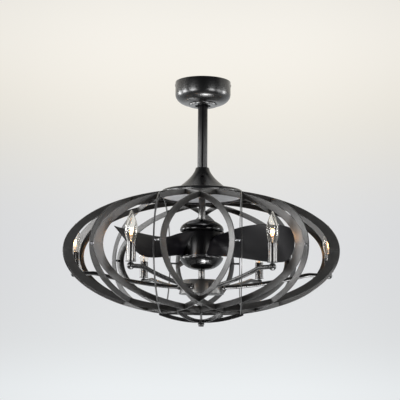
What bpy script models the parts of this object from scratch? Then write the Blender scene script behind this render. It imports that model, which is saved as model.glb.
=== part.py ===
# Caged ceiling fan with six candle lights, in metres, +Z up, hung from the ceiling plane at Z = 0.
import math

import bmesh
import bpy
from mathutils import Matrix, Vector

# General
GAP = 0.0003            # seat gap between pieces that touch
RUNNING_GAP = 0.0005    # gap between turning and fixed pieces
OVERRUN = 0.004         # how far a cutter passes the wall it cuts
EQUATOR_DROP = 0.474    # ceiling to the widest level of the cage
TURN_STEPS = 22         # facets of the large turned pieces
SMALL_STEPS = 10        # facets of the small ones

# Cage of flat oval hoops. Heights are above the equator level.
HOOP_COUNT = 12
CAGE_RADIUS = 0.375
HOOP_OFFSET = 0.1055     # distance of each hoop's plane from the axis
HOOP_RISE = 0.1617       # outer edge above the equator
HOOP_DROP = 0.1643       # outer edge below the equator
HOOP_WIDTH_SIDE = 0.025  # strip width at the equator
HOOP_WIDTH_POLE = 0.0139 # strip width at top and bottom
HOOP_SHEET = 0.0022
HOOP_TURN = math.radians(-1.6)
HOOP_ARC_STEPS = 18
LINK_HEIGHT = 0.005
LINK_DEPTH = 0.007
LINK_INSET = 0.004

# Slotted plate that the hoops' tops hang in
PLATE_RADIUS = 0.1117
PLATE_SHEET = 0.0018
PLATE_RIM_BOTTOM = 0.1515
PLATE_TOP = 0.1713
PLATE_SHOULDER = 0.0075
PLATE_COVER_SHEET = 0.0016  # flat disc that closes the pan from below
PLATE_COLLAR_RADIUS = 0.0145
PLATE_COLLAR_HEIGHT = 0.008
SLOT_HALF_ANGLE = math.radians(6.6)

# Bracket under the cage
BOTTOM_ARMS = 6
BOTTOM_REACH = 0.1135
BOTTOM_SHEET = 0.0026
BOTTOM_LIP = 0.004       # how far the bracket's slots reach up round the hoops
BOTTOM_SAG = 0.0236      # drop of its lower edge at the middle
BOTTOM_BAND = 0.0094     # depth of the arms at the middle
BOTTOM_BOSS = 0.009
BOTTOM_END = 0.0032      # metal under a slot
BOTTOM_SHOULDER = 0.101  # where the arms' upper edge reaches the level of their ends

# Ceiling bracket, ball and canopy. Depths are below the ceiling.
BRACKET_SHEET = 0.0025
BRACKET_CLEARANCE = 0.0068  # between the bracket's ends and the canopy's wall
BRACKET_WIDTH = 0.056
CRADLE_WIDTH = 0.064
CRADLE_DEPTH = 0.0535
CEILING_SCREW_RADIUS = 0.0026
CEILING_SCREW_REACH = 0.045
BALL_RADIUS = 0.024
BALL_DEPTH = 0.040
BALL_FLAT = 0.016        # the ball is cut flat this far over its centre
CANOPY_RADIUS = 0.0765
CANOPY_WALL = 0.0012
CANOPY_STRAIGHT = 0.034
CANOPY_DEPTH = 0.0625
CANOPY_MOUTH = 0.0366
CANOPY_LIP = 0.004
CANOPY_SCREW_DEPTH = 0.009
CANOPY_SCREW_RADIUS = 0.002
CANOPY_SCREW_HEAD = 0.0042
CANOPY_SCREW_THICK = 0.0024
EAR_DROP = 0.018

# Downrod and couplings
ROD_RADIUS = 0.0134
ROD_BORE = 0.0105
ROD_TOP_DEPTH = 0.017
ROD_BOTTOM = 0.1905
PIN_RADIUS = 0.003
HANGER_PIN_DEPTH = 0.0265
HANGER_PIN_LENGTH = 0.040
COLLAR_RADIUS = 0.0185
COLLAR_TOP = 0.215
COLLAR_FOOT_RADIUS = 0.034
COLLAR_FOOT = 0.004
COUPLING_PIN_HEIGHT = 0.203
COUPLING_PIN_LENGTH = 0.042
BELL_TOP = 0.234
BELL_NECK = 0.0185
BELL_MOUTH = 0.076
BELL_FLARE_SHARE = 1.61  # 1 is a straight cone, more is a deeper flare
BELL_WALL = 0.0012

# Motor
SHAFT_RADIUS = 0.0095
SHAFT_BORE = 0.0062
SHAFT_BOTTOM = -0.0435
DOME_RADIUS = 0.0598
DOME_TOP = 0.0925
DOME_FOLD = 0.0677        # where the dome turns down to its rim
DOME_RIM = 0.0590
DOME_CURVE_SHARE = 1.6   # 1 is a cone, 2 a round dome
COVER_WALL = 0.0015
HUB_RADIUS = 0.054
HUB_WALL = 0.004
HUB_TOP = 0.0583
HUB_BOTTOM = -0.0118
END_PLATE = 0.005
BEARING_RADIUS = 0.0175
BEARING_HEIGHT = 0.007
STATOR_RADIUS = 0.045
STATOR_HEIGHT = 0.038
BOWL_RADIUS = 0.0585
BOWL_RIM = 0.003
BOWL_BOTTOM = -0.0458
BOWL_FOOT = 0.0088
BOWL_CURVE_SHARE = 1.8

# Blades
BLADE_COUNT = 3
BLADE_TURN = math.radians(85)
BLADE_REACH = 0.265
BLADE_THICK = 0.0034
BLADE_EDGE = 0.0016
BLADE_CAMBER = 0.004     # rise of the middle of a section over its chord
BLADE_RISE = 0.0587      # leading edge over the equator at the tip
BLADE_ROWS = 6
BLADE_END_POINTS = 3

# Light kit
LIGHT_COUNT = 6
LIGHT_CIRCLE = 0.344
TUBE_RADIUS = 0.0088
LIGHT_HUB_TOP = -0.0728
LIGHT_HUB_BOTTOM = -0.1118
LIGHT_HUB_TOP_RADIUS = 0.0505
LIGHT_HUB_BOTTOM_RADIUS = 0.0606
LIGHT_HUB_WALL = 0.0022
ARM_RADIUS = 0.0048
ARM_LEVEL = -0.0920      # where the arms enter the hub
ARM_LEVEL_RUN = 0.054    # nearly level end of an arm, up to the ball
ARM_KNEE_LEVEL = -0.0570
ARM_ROOT = 0.0515
FERRULE_RADIUS = 0.0076
FERRULE_LENGTH = 0.006
ARM_BALL_RADIUS = 0.0093
ARM_BALL_LEVEL = -0.0585
SLEEVE_RADIUS = 0.0118
SLEEVE_BOTTOM = -0.0482
SLEEVE_TOP = 0.0
SOCKET_RADIUS = 0.0082
SOCKET_DEPTH = 0.027
SLEEVE_FLANGE = 0.0016
BULB_RADIUS = 0.0158
BULB_WIDEST = 0.030
BULB_TIP = 0.0785
BULB_CAP_RADIUS = 0.0066
BULB_CAP_LENGTH = 0.021
BULB_NECK = 0.0098

# Tie rod and finial
TIE_RADIUS = 0.0032
FINIAL_RADIUS = 0.0086
FINIAL_HEIGHT = 0.0094

# Colours: base colour, roughness, metallic
SATIN_BLACK = ("satin_black", (0.030, 0.030, 0.033), 0.42, 0.6)
GLOSS_BLACK = ("gloss_black", (0.014, 0.014, 0.017), 0.18, 0.5)
BLADE_BLACK = ("blade_black", (0.018, 0.017, 0.020), 0.50, 0.0)
PLAIN_STEEL = ("plain_steel", (0.42, 0.42, 0.43), 0.35, 1.0)
WINDING = ("winding", (0.45, 0.20, 0.08), 0.45, 0.8)
BULB_GLASS = ("bulb_glass", (0.95, 0.90, 0.80), 0.05, 0.0)


def clear_scene():
    for thing in list(bpy.data.objects):
        bpy.data.objects.remove(thing, do_unlink=True)


def add_collection(name):
    group = bpy.data.collections.new(name)
    bpy.context.scene.collection.children.link(group)
    return group


def material_of(finish, node):
    name, colour, roughness, metallic = finish
    made = bpy.data.materials.new(f"{name}_{node}")
    made.use_nodes = True
    shader = made.node_tree.nodes["Principled BSDF"]
    shader.inputs["Base Color"].default_value = (*colour, 1.0)
    shader.inputs["Roughness"].default_value = roughness
    shader.inputs["Metallic"].default_value = metallic
    return made


def level(height):
    """World Z of a height over the equator."""
    return height - EQUATOR_DROP


def add_part(name, mesh, finish, turn=0.0):
    piece = bpy.data.objects.new(name, mesh)
    PARTS.objects.link(piece)
    piece.rotation_euler.z = turn
    piece.data.materials.clear()
    piece.data.materials.append(material_of(finish, name))
    return piece


def add_cutter(name, mesh):
    piece = bpy.data.objects.new(name, mesh)
    CUTTERS.objects.link(piece)
    piece.hide_render = True
    piece.display_type = "WIRE"
    return piece


def evaluated_mesh(piece):
    """A mesh copy of the object as its modifiers leave it, with its place applied and its doubles merged."""
    bpy.context.view_layer.update()
    graph = bpy.context.evaluated_depsgraph_get()
    mesh = bpy.data.meshes.new_from_object(piece.evaluated_get(graph))
    mesh.transform(piece.matrix_world)
    shape = bmesh.new()
    shape.from_mesh(mesh)
    bmesh.ops.remove_doubles(shape, verts=shape.verts, dist=1e-6)
    shape.to_mesh(mesh)
    shape.free()
    return mesh


def drop(piece):
    bpy.data.objects.remove(piece, do_unlink=True)


def combine(base, others, operation):
    """Joins or cuts a mesh with others, and returns the mesh that is left."""
    body = add_cutter("body", base)
    helpers = [add_cutter("helper", other) for other in others]
    for helper in helpers:
        step = body.modifiers.new(operation.lower(), "BOOLEAN")
        step.operation = operation
        step.object = helper
    made = evaluated_mesh(body)
    for thing in [body, *helpers]:
        drop(thing)
    return made


def shade(mesh, angle=math.radians(35)):
    mesh.shade_smooth()
    mesh.set_sharp_from_angle(angle=angle)
    return mesh


def turned(profile, steps=TURN_STEPS, closed=False):
    """A profile of (radius, height) that runs down its outer side, turned about Z."""
    count = len(profile)
    edges = [(i, i + 1) for i in range(count - 1)]
    if closed:
        edges.append((count - 1, 0))
    mesh = bpy.data.meshes.new("profile")
    mesh.from_pydata([(radius, 0.0, height) for radius, height in profile], edges, [])
    piece = bpy.data.objects.new("profile", mesh)
    PARTS.objects.link(piece)
    screw = piece.modifiers.new("screw", "SCREW")
    screw.axis = "Z"
    screw.angle = 2 * math.pi
    screw.steps = screw.render_steps = steps
    screw.use_merge_vertices = True
    screw.merge_threshold = 1e-5
    made = evaluated_mesh(piece)
    drop(piece)
    return made


def rod(radius, low, high, steps=SMALL_STEPS):
    return turned([(0.0, high), (radius, high), (radius, low), (0.0, low)], steps)


def ring(outer, inner, low, high, steps=TURN_STEPS):
    return turned([(outer, high), (outer, low), (inner, low), (inner, high)], steps, closed=True)


def moved(mesh, offset=(0.0, 0.0, 0.0), turn=0.0, lay=None):
    """Lays a mesh that stands along Z along X or Y, turns it about Z and moves it."""
    if lay == "X":
        mesh.transform(Matrix.Rotation(math.pi / 2, 4, "Y"))
    if lay == "Y":
        mesh.transform(Matrix.Rotation(-math.pi / 2, 4, "X"))
    mesh.transform(Matrix.Translation(offset))
    mesh.transform(Matrix.Rotation(turn, 4, "Z"))
    return mesh


def slab(outlines, thickness, upright=False):
    """Flat outlines, the first solid and the rest holes in it, made as thick as asked.
    Upright ones stand in the XZ plane."""
    curve = bpy.data.curves.new("outline", "CURVE")
    curve.dimensions = "2D"
    curve.fill_mode = "BOTH"
    curve.extrude = thickness / 2
    for outline in outlines:
        spline = curve.splines.new("POLY")
        spline.points.add(len(outline) - 1)
        for point, place in zip(spline.points, outline):
            point.co = (place[0], place[1], 0.0, 1.0)
        spline.use_cyclic_u = True
    piece = bpy.data.objects.new("outline", curve)
    PARTS.objects.link(piece)
    if upright:
        piece.rotation_euler.x = math.pi / 2
    made = evaluated_mesh(piece)
    drop(piece)
    return made


def block(size, centre):
    shape = bmesh.new()
    bmesh.ops.create_cube(shape, size=1.0)
    bmesh.ops.scale(shape, vec=size, verts=shape.verts)
    bmesh.ops.translate(shape, vec=centre, verts=shape.verts)
    mesh = bpy.data.meshes.new("block")
    shape.to_mesh(mesh)
    shape.free()
    return mesh


def joined(meshes):
    """Several meshes as one, for a cutter that cuts in many places."""
    shape = bmesh.new()
    for mesh in meshes:
        shape.from_mesh(mesh)
    made = bpy.data.meshes.new("joined")
    shape.to_mesh(made)
    shape.free()
    return made


def arc(centre, radius, start, end, steps):
    """Points on a circle in a profile, both ends included, angles in degrees."""
    found = []
    for i in range(steps + 1):
        angle = math.radians(start + (end - start) * i / steps)
        found.append((centre[0] + radius * math.cos(angle), centre[1] + radius * math.sin(angle)))
    return found


# Cage hoops
def hoop_half_length():
    return math.sqrt(CAGE_RADIUS ** 2 - HOOP_OFFSET ** 2)


def edge_height(along, side, inner):
    """Height of a hoop's outer or inner edge at a place along it. side is 1 above the equator, -1 below."""
    reach = hoop_half_length() - (HOOP_WIDTH_SIDE if inner else 0.0)
    rise = (HOOP_RISE if side > 0 else HOOP_DROP) - (HOOP_WIDTH_POLE if inner else 0.0)
    return side * rise * math.sqrt(max(0.0, 1 - (along / reach) ** 2))


def crossings():
    """(place along the hoop, half width of its notch, whether the notch opens outwards)."""
    step = 2 * math.pi / HOOP_COUNT
    found = []
    for k in range(1, HOOP_COUNT // 2):
        angle = k * step
        along = HOOP_OFFSET * math.tan(angle / 2)
        if along > hoop_half_length() - HOOP_WIDTH_SIDE:
            continue
        half = HOOP_SHEET / 2 * (1 + abs(math.cos(angle))) / math.sin(angle) + GAP
        found.append((along, half, True))
        found.append((-along, half, False))
    return found


def notched_edge(inner):
    """One edge of a hoop as an outline in its plane, with half-lap notches where other hoops cross."""
    reach = hoop_half_length() - (HOOP_WIDTH_SIDE if inner else 0.0)
    notches = [(along, half) for along, half, outward in crossings() if outward != inner]
    found = []
    for side in (1, -1):
        places = []
        for i in range(HOOP_ARC_STEPS // 2):
            angle = math.pi * i / (HOOP_ARC_STEPS // 2)
            along = reach * math.cos(angle)
            if all(abs(along - place) > half * 1.6 for place, half in notches):
                places.append((along, [(along, edge_height(along, side, inner))]))
        for along, half in notches:
            middle = (edge_height(along, side, False) + edge_height(along, side, True)) / 2
            floor = middle + (GAP if inner else -GAP) / 2 * side
            left, right = along - half, along + half
            places.append((along, [
                (right, edge_height(right, side, inner)),
                (right, floor),
                (left, floor),
                (left, edge_height(left, side, inner)),
            ]))
        places.sort(key=lambda entry: -entry[0])
        points = [point for _, group in places for point in group]
        if side < 0:
            points = [(-reach, 0.0)] + points[::-1]
            points = [point for point in points if not (point[0] > reach * 0.9999)]
        found += points
    return found


def link_lug():
    """The lug at the equator that bridges from one hoop to its neighbour, seen from above."""
    step = 2 * math.pi / HOOP_COUNT
    turn = step * (HOOP_COUNT // 2 - 1)
    corners = []
    for radius in (CAGE_RADIUS - LINK_INSET, CAGE_RADIUS - LINK_INSET - LINK_DEPTH):
        along = math.sqrt(radius ** 2 - HOOP_OFFSET ** 2)
        own = Vector((HOOP_OFFSET, along))
        other = Matrix.Rotation(turn, 2) @ Vector((HOOP_OFFSET - HOOP_SHEET / 2 - GAP, -along))
        corners.append((own, other))
    (own_out, other_out), (own_in, other_in) = corners
    outline = [tuple(own_out), tuple(other_out), tuple(other_in), tuple(own_in)]
    return slab([outline], LINK_HEIGHT)


def hoop_mesh():
    hoop = slab([notched_edge(False), notched_edge(True)], HOOP_SHEET)
    stand = Matrix.Rotation(math.pi / 2, 4, "Z") @ Matrix.Rotation(math.pi / 2, 4, "X")
    hoop.transform(stand)
    hoop.transform(Matrix.Translation((HOOP_OFFSET, 0.0, 0.0)))
    made = combine(hoop, [link_lug()], "UNION")
    made.transform(Matrix.Translation((0.0, 0.0, -EQUATOR_DROP)))
    return made


def add_hoops():
    mesh = hoop_mesh()
    for k in range(HOOP_COUNT):
        turn = HOOP_TURN + 2 * math.pi * k / HOOP_COUNT
        add_part(f"cage_hoop_{k + 1:02d}", mesh.copy(), SATIN_BLACK, turn)


def add_top_plate():
    """A pan with its rim down. The hoops leave it in pairs, where they cross, through slots in the rim. A flat
    disc inside the hoops closes it from below and holds on the motor shaft by its collar."""
    outside = [(SHAFT_RADIUS + GAP, PLATE_TOP)]
    centre = (PLATE_RADIUS - PLATE_SHOULDER, PLATE_TOP - PLATE_SHOULDER)
    outside += arc(centre, PLATE_SHOULDER, 90, 0, 3)
    outside.append((PLATE_RADIUS, PLATE_RIM_BOTTOM))
    inside = [(PLATE_RADIUS - PLATE_SHEET, PLATE_RIM_BOTTOM)]
    inside += arc(centre, PLATE_SHOULDER - PLATE_SHEET, 0, 90, 3)
    inside.append((SHAFT_RADIUS + GAP, PLATE_TOP - PLATE_SHEET))
    pan = turned(outside + inside, HOOP_COUNT * 3, closed=True)
    pan.transform(Matrix.Translation((0.0, 0.0, -EQUATOR_DROP)))
    seat = edge_height(math.sqrt(PLATE_RADIUS ** 2 - HOOP_OFFSET ** 2), 1, False) + GAP
    low = PLATE_RIM_BOTTOM - OVERRUN
    width = 2 * PLATE_RADIUS * math.tan(SLOT_HALF_ANGLE)
    depth = 2 * OVERRUN
    cutters = []
    for k in range(HOOP_COUNT):
        cutter = block((depth, width, seat - low), (PLATE_RADIUS - PLATE_SHEET / 2, 0.0, level((seat + low) / 2)))
        turn = HOOP_TURN + 2 * math.pi * (k + 0.5) / HOOP_COUNT
        cutters.append(moved(cutter, turn=turn))
    add_part("cage_top_plate", shade(combine(pan, [joined(cutters)], "DIFFERENCE")), SATIN_BLACK)
    radius, bore = HOOP_OFFSET - HOOP_SHEET / 2 - GAP, SHAFT_RADIUS + GAP
    low, top = level(PLATE_RIM_BOTTOM), level(PLATE_RIM_BOTTOM + PLATE_COVER_SHEET)
    collar = level(PLATE_RIM_BOTTOM + PLATE_COLLAR_HEIGHT)
    cover = turned([(bore, low), (bore, collar), (PLATE_COLLAR_RADIUS, collar), (PLATE_COLLAR_RADIUS, top),
                    (radius, top), (radius, low)], HOOP_COUNT * 3, closed=True)
    add_part("cage_plate_cover", shade(cover), SATIN_BLACK)


def bottom_arm_outline():
    """One arm of the bottom bracket, seen side on: arched up from the boss, with a slot for a hoop near its end."""
    base = -HOOP_DROP - BOTTOM_SAG
    tip = -HOOP_DROP - GAP
    seat = -HOOP_DROP + BOTTOM_LIP
    slot = HOOP_SHEET / 2 + GAP
    root = BOTTOM_BOSS * 0.6
    lower, upper = [], []
    steps = 7
    for i in range(steps + 1):
        share = i / steps
        along = root + (BOTTOM_REACH - root) * share
        lower.append((along, base + (tip - BOTTOM_END - base) * share ** 2))
    for i in range(steps):
        share = 1 - i / (steps - 1)
        along = root + (BOTTOM_SHOULDER - root) * share
        upper.append((along, base + BOTTOM_BAND + (seat - base - BOTTOM_BAND) * share ** 2))
    end = [(BOTTOM_REACH, seat), (HOOP_OFFSET + slot, seat), (HOOP_OFFSET + slot, tip),
           (HOOP_OFFSET - slot, tip), (HOOP_OFFSET - slot, seat)]
    return lower + end + upper


def add_bottom_bracket():
    """Six arms round a boss. Each one ends in a slot for the bottom of a hoop."""
    base = -HOOP_DROP - BOTTOM_SAG
    boss = rod(BOTTOM_BOSS, base - GAP, base + BOTTOM_BAND + GAP)
    arms = []
    for k in range(BOTTOM_ARMS):
        arm = slab([bottom_arm_outline()], BOTTOM_SHEET, upright=True)
        arms.append(moved(arm, turn=HOOP_TURN + 2 * math.pi * k / BOTTOM_ARMS))
    body = combine(boss, arms, "UNION")
    bore = rod(TIE_RADIUS + GAP, base - OVERRUN, base + BOTTOM_BAND + OVERRUN)
    made = combine(body, [bore], "DIFFERENCE")
    made.transform(Matrix.Translation((0.0, 0.0, -EQUATOR_DROP)))
    add_part("cage_bottom_bracket", made, SATIN_BLACK)


def add_tie_rod():
    base = -HOOP_DROP - BOTTOM_SAG
    low = base - GAP - FINIAL_HEIGHT * 0.7
    add_part("tie_rod", shade(rod(TIE_RADIUS, level(low), level(LIGHT_HUB_BOTTOM - GAP), 12)), SATIN_BLACK)
    top = base - 2 * GAP
    bottom = top - FINIAL_HEIGHT
    profile = [
        (TIE_RADIUS + GAP, top), (FINIAL_RADIUS * 0.92, top), (FINIAL_RADIUS, top - FINIAL_HEIGHT * 0.1),
        (FINIAL_RADIUS, top - FINIAL_HEIGHT * 0.5), (FINIAL_RADIUS * 0.88, top - FINIAL_HEIGHT * 0.56),
        (FINIAL_RADIUS * 0.88, top - FINIAL_HEIGHT * 0.9), (FINIAL_RADIUS * 0.75, bottom), (0.0, bottom),
        (0.0, low - GAP), (TIE_RADIUS + GAP, low - GAP),
    ]
    profile = [(radius, level(height)) for radius, height in profile]
    outer, inner = profile[:8], profile[8:]
    add_part("finial", shade(turned(profile_loop(outer, inner), SMALL_STEPS)), GLOSS_BLACK)


def profile_loop(outer, inner):
    """An open profile that starts on the axis inside a blind bore, climbs it and runs down the outside."""
    return inner[:1] + inner[1:] + outer


# Ceiling bracket, hanger and canopy
def bracket_reach():
    return CANOPY_RADIUS - CANOPY_WALL - BRACKET_CLEARANCE


def add_ceiling_bracket():
    """A mounting plate with down-turned ears and a U cradle under its middle."""
    half = bracket_reach()
    sheet = BRACKET_SHEET
    cradle = CRADLE_WIDTH / 2
    outer = [
        (-half, 0.0), (-half, -EAR_DROP), (-half + sheet, -EAR_DROP), (-half + sheet, -sheet),
        (-cradle, -sheet), (-cradle, -CRADLE_DEPTH), (cradle, -CRADLE_DEPTH), (cradle, -sheet),
        (half - sheet, -sheet), (half - sheet, -EAR_DROP), (half, -EAR_DROP), (half, 0.0),
    ]
    body = slab([outer], BRACKET_WIDTH, upright=True)
    window_height = CRADLE_DEPTH - 2 * sheet
    window = block((CRADLE_WIDTH - 2 * sheet, BRACKET_WIDTH + 2 * OVERRUN, window_height),
                   (0.0, 0.0, -sheet - window_height / 2))
    seat_depth = CRADLE_DEPTH - sheet - BALL_DEPTH
    seat = math.sqrt((BALL_RADIUS + RUNNING_GAP) ** 2 - seat_depth ** 2)
    hole = rod(seat, -CRADLE_DEPTH - OVERRUN, -CRADLE_DEPTH + sheet + OVERRUN, TURN_STEPS)
    way = block((2 * ROD_RADIUS + 4 * RUNNING_GAP, BRACKET_WIDTH, 2 * OVERRUN + sheet),
                (0.0, BRACKET_WIDTH / 2, -CRADLE_DEPTH + sheet / 2))
    holes = [moved(rod(CEILING_SCREW_RADIUS, -sheet - OVERRUN, OVERRUN, 12), (side * CEILING_SCREW_REACH, 0.0, 0.0))
             for side in (-1, 1)]
    ears = [moved(rod(CANOPY_SCREW_RADIUS + GAP, -sheet - OVERRUN, OVERRUN + sheet, 12),
                  (side * half, 0.0, -CANOPY_SCREW_DEPTH), lay="X") for side in (-1, 1)]
    for side, ear in zip((-1, 1), ears):
        centre_ear(ear, side * (half - sheet / 2))
    add_part("ceiling_bracket", combine(body, [window, hole, way, *holes, *ears], "DIFFERENCE"), PLAIN_STEEL)


def centre_ear(mesh, place):
    """Moves a mesh along X so that its middle is at the place."""
    along = [vertex.co.x for vertex in mesh.vertices]
    mesh.transform(Matrix.Translation((place - (min(along) + max(along)) / 2, 0.0, 0.0)))


def add_hanger():
    """A ball with a flat top, bored for the downrod, and the cross pin that rests in its groove."""
    profile = [(0.0, -BALL_DEPTH + BALL_FLAT)]
    start = math.degrees(math.asin(BALL_FLAT / BALL_RADIUS))
    end = -math.degrees(math.acos((ROD_RADIUS + GAP) / BALL_RADIUS))
    profile += arc((0.0, -BALL_DEPTH), BALL_RADIUS, start, end, 5)
    profile.append((0.0, profile[-1][1]))
    ball = turned(profile)
    bore = rod(ROD_RADIUS + GAP, -BALL_DEPTH - BALL_RADIUS, -BALL_DEPTH + BALL_RADIUS, TURN_STEPS)
    groove_floor = -HANGER_PIN_DEPTH - PIN_RADIUS - GAP
    groove_height = BALL_RADIUS
    groove = block((2 * BALL_RADIUS, 2 * (PIN_RADIUS + GAP), groove_height),
                   (0.0, 0.0, groove_floor + groove_height / 2))
    add_part("hanger_ball", shade(combine(ball, [bore, groove], "DIFFERENCE")), SATIN_BLACK)
    pin = moved(rod(PIN_RADIUS, -HANGER_PIN_LENGTH / 2, HANGER_PIN_LENGTH / 2, 12),
                (0.0, 0.0, -HANGER_PIN_DEPTH), lay="X")
    add_part("hanger_pin", shade(pin), PLAIN_STEEL)


def add_canopy():
    """A spun cup whose wall turns in to a lipped mouth round the downrod."""
    corner = CANOPY_DEPTH - CANOPY_STRAIGHT
    outside = [(CANOPY_RADIUS, -GAP), (CANOPY_RADIUS, -CANOPY_STRAIGHT)]
    inside = [(CANOPY_RADIUS - CANOPY_WALL, -GAP), (CANOPY_RADIUS - CANOPY_WALL, -CANOPY_STRAIGHT)]
    flat = CANOPY_RADIUS - CANOPY_MOUTH - CANOPY_LIP
    steps = 5
    for i in range(1, steps + 1):
        angle = math.pi / 2 * i / steps
        drop_share, in_share = math.sin(angle), 1 - math.cos(angle)
        outside.append((CANOPY_RADIUS - flat * in_share, -CANOPY_STRAIGHT - corner * drop_share))
        inside.append((CANOPY_RADIUS - CANOPY_WALL - (flat - CANOPY_WALL) * in_share,
                       -CANOPY_STRAIGHT - (corner - CANOPY_WALL) * drop_share))
    mouth = [
        (CANOPY_MOUTH + CANOPY_WALL * 2, -CANOPY_DEPTH - CANOPY_LIP),
        (CANOPY_MOUTH, -CANOPY_DEPTH - CANOPY_LIP), (CANOPY_MOUTH, -CANOPY_DEPTH + CANOPY_WALL),
    ]
    shell = turned(outside + mouth + inside[::-1], TURN_STEPS, closed=True)
    holes = [moved(rod(CANOPY_SCREW_RADIUS + GAP, -OVERRUN, OVERRUN, 12), lay="X") for _ in range(2)]
    for side, hole in zip((-1, 1), holes):
        hole.transform(Matrix.Translation((side * (CANOPY_RADIUS - CANOPY_WALL / 2), 0.0, -CANOPY_SCREW_DEPTH)))
    add_part("canopy", shade(combine(shell, holes, "DIFFERENCE")), GLOSS_BLACK)
    for side, name in ((-1, "left"), (1, "right")):
        seat = CANOPY_RADIUS + GAP
        end = bracket_reach() - 2 * BRACKET_SHEET
        screw = turned([
            (0.0, seat + CANOPY_SCREW_THICK), (CANOPY_SCREW_HEAD * 0.6, seat + CANOPY_SCREW_THICK),
            (CANOPY_SCREW_HEAD, seat + CANOPY_SCREW_THICK * 0.45), (CANOPY_SCREW_HEAD, seat),
            (CANOPY_SCREW_RADIUS, seat), (CANOPY_SCREW_RADIUS, end), (0.0, end),
        ], 12)
        screw = moved(screw, lay="X")
        screw.transform(Matrix.Translation((0.0, 0.0, -CANOPY_SCREW_DEPTH)))
        if side < 0:
            screw.transform(Matrix.Rotation(math.pi, 4, "Z"))
        add_part(f"canopy_screw_{name}", shade(screw), GLOSS_BLACK)


def add_downrod():
    pipe = ring(ROD_RADIUS, ROD_BORE, level(ROD_BOTTOM), -ROD_TOP_DEPTH, 20)
    holes = []
    for height in (-HANGER_PIN_DEPTH, level(COUPLING_PIN_HEIGHT)):
        hole = moved(rod(PIN_RADIUS + GAP, -ROD_RADIUS - OVERRUN, ROD_RADIUS + OVERRUN, 12), lay="X")
        hole.transform(Matrix.Translation((0.0, 0.0, height)))
        holes.append(hole)
    add_part("downrod", shade(combine(pipe, holes, "DIFFERENCE")), SATIN_BLACK)


def add_coupling():
    """The collar that takes the downrod above and the motor shaft below, its cross pin and its bell cover."""
    top, foot = level(COLLAR_TOP), level(PLATE_TOP + GAP)
    stop = level(ROD_BOTTOM - GAP)
    bore, neck = ROD_RADIUS + GAP, SHAFT_RADIUS + GAP
    collar = turned([
        (COLLAR_RADIUS, top), (COLLAR_RADIUS, foot + COLLAR_FOOT), (COLLAR_FOOT_RADIUS, foot + COLLAR_FOOT),
        (COLLAR_FOOT_RADIUS, foot), (neck, foot), (neck, stop), (bore, stop), (bore, top),
    ], 24, closed=True)
    hole = moved(rod(PIN_RADIUS + GAP, -COLLAR_RADIUS - OVERRUN, COLLAR_RADIUS + OVERRUN, 12), lay="X")
    hole.transform(Matrix.Translation((0.0, 0.0, level(COUPLING_PIN_HEIGHT))))
    add_part("motor_coupling", shade(combine(collar, [hole], "DIFFERENCE")), PLAIN_STEEL)
    pin = moved(rod(PIN_RADIUS, -COUPLING_PIN_LENGTH / 2, COUPLING_PIN_LENGTH / 2, 12), lay="X")
    pin.transform(Matrix.Translation((0.0, 0.0, level(COUPLING_PIN_HEIGHT))))
    add_part("coupling_pin", shade(pin), PLAIN_STEEL)
    add_part("coupling_cover", shade(bell_mesh()), SATIN_BLACK)


def bell_mesh():
    """A concave flare from the downrod out to a mouth on the cage plate."""
    height = BELL_TOP - PLATE_TOP - GAP
    bore = ROD_RADIUS + GAP
    outside, inside = [], []
    steps = 6
    for i in range(1, steps + 1):
        share = i / steps
        radius = BELL_NECK + (BELL_MOUTH - BELL_NECK) * share ** BELL_FLARE_SHARE
        z = BELL_TOP - height * share
        outside.append((radius, level(z)))
        inside.append((radius - BELL_WALL * 1.5, level(z)))
    top = [(bore, level(BELL_TOP)), (BELL_NECK, level(BELL_TOP))]
    return turned(top + outside + inside[::-1] + [(bore, level(BELL_TOP - 2 * BELL_WALL))], TURN_STEPS, closed=True)


# Motor
def add_motor():
    add_part("motor_shaft", shade(ring(SHAFT_RADIUS, SHAFT_BORE, level(SHAFT_BOTTOM),
                                       level(ROD_BOTTOM - 2 * GAP), 24)), SATIN_BLACK)
    add_part("motor_top_cover", shade(dome_mesh()), GLOSS_BLACK)
    bore = BEARING_RADIUS + RUNNING_GAP
    top, bottom = level(HUB_TOP), level(HUB_BOTTOM + END_PLATE)
    hub = turned([
        (HUB_RADIUS - HUB_WALL, top), (HUB_RADIUS, top - HUB_WALL), (HUB_RADIUS, bottom + GAP),
        (HUB_RADIUS - HUB_WALL, bottom + GAP), (HUB_RADIUS - HUB_WALL, top - 2 * HUB_WALL),
        (bore, top - 2 * HUB_WALL), (bore, top),
    ], TURN_STEPS, closed=True)
    add_part("rotor_hub", shade(hub), GLOSS_BLACK)
    plate = ring(HUB_RADIUS, bore, level(HUB_BOTTOM), bottom, TURN_STEPS)
    add_part("rotor_end_plate", shade(plate), SATIN_BLACK)
    seat = SHAFT_RADIUS + GAP
    high = level(HUB_TOP) - HUB_WALL
    low = level(HUB_BOTTOM) + END_PLATE / 2
    for name, middle in (("upper_bearing", high), ("lower_bearing", low)):
        bearing = ring(BEARING_RADIUS, seat, middle - BEARING_HEIGHT / 2, middle + BEARING_HEIGHT / 2, 24)
        add_part(name, shade(bearing), PLAIN_STEEL)
    centre = (high + low) / 2
    stator = ring(STATOR_RADIUS, seat, centre - STATOR_HEIGHT / 2, centre + STATOR_HEIGHT / 2, 24)
    add_part("motor_stator", shade(stator), WINDING)
    add_part("motor_bottom_cover", shade(bowl_mesh()), GLOSS_BLACK)


def curved_radius(inner, outer, rise_share, curve_share):
    """Radius of a dome or bowl at a share of its rise, from outer at the rim to inner at the crown."""
    return inner + (outer - inner) * (1 - rise_share ** curve_share) ** (1 / curve_share)


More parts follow.
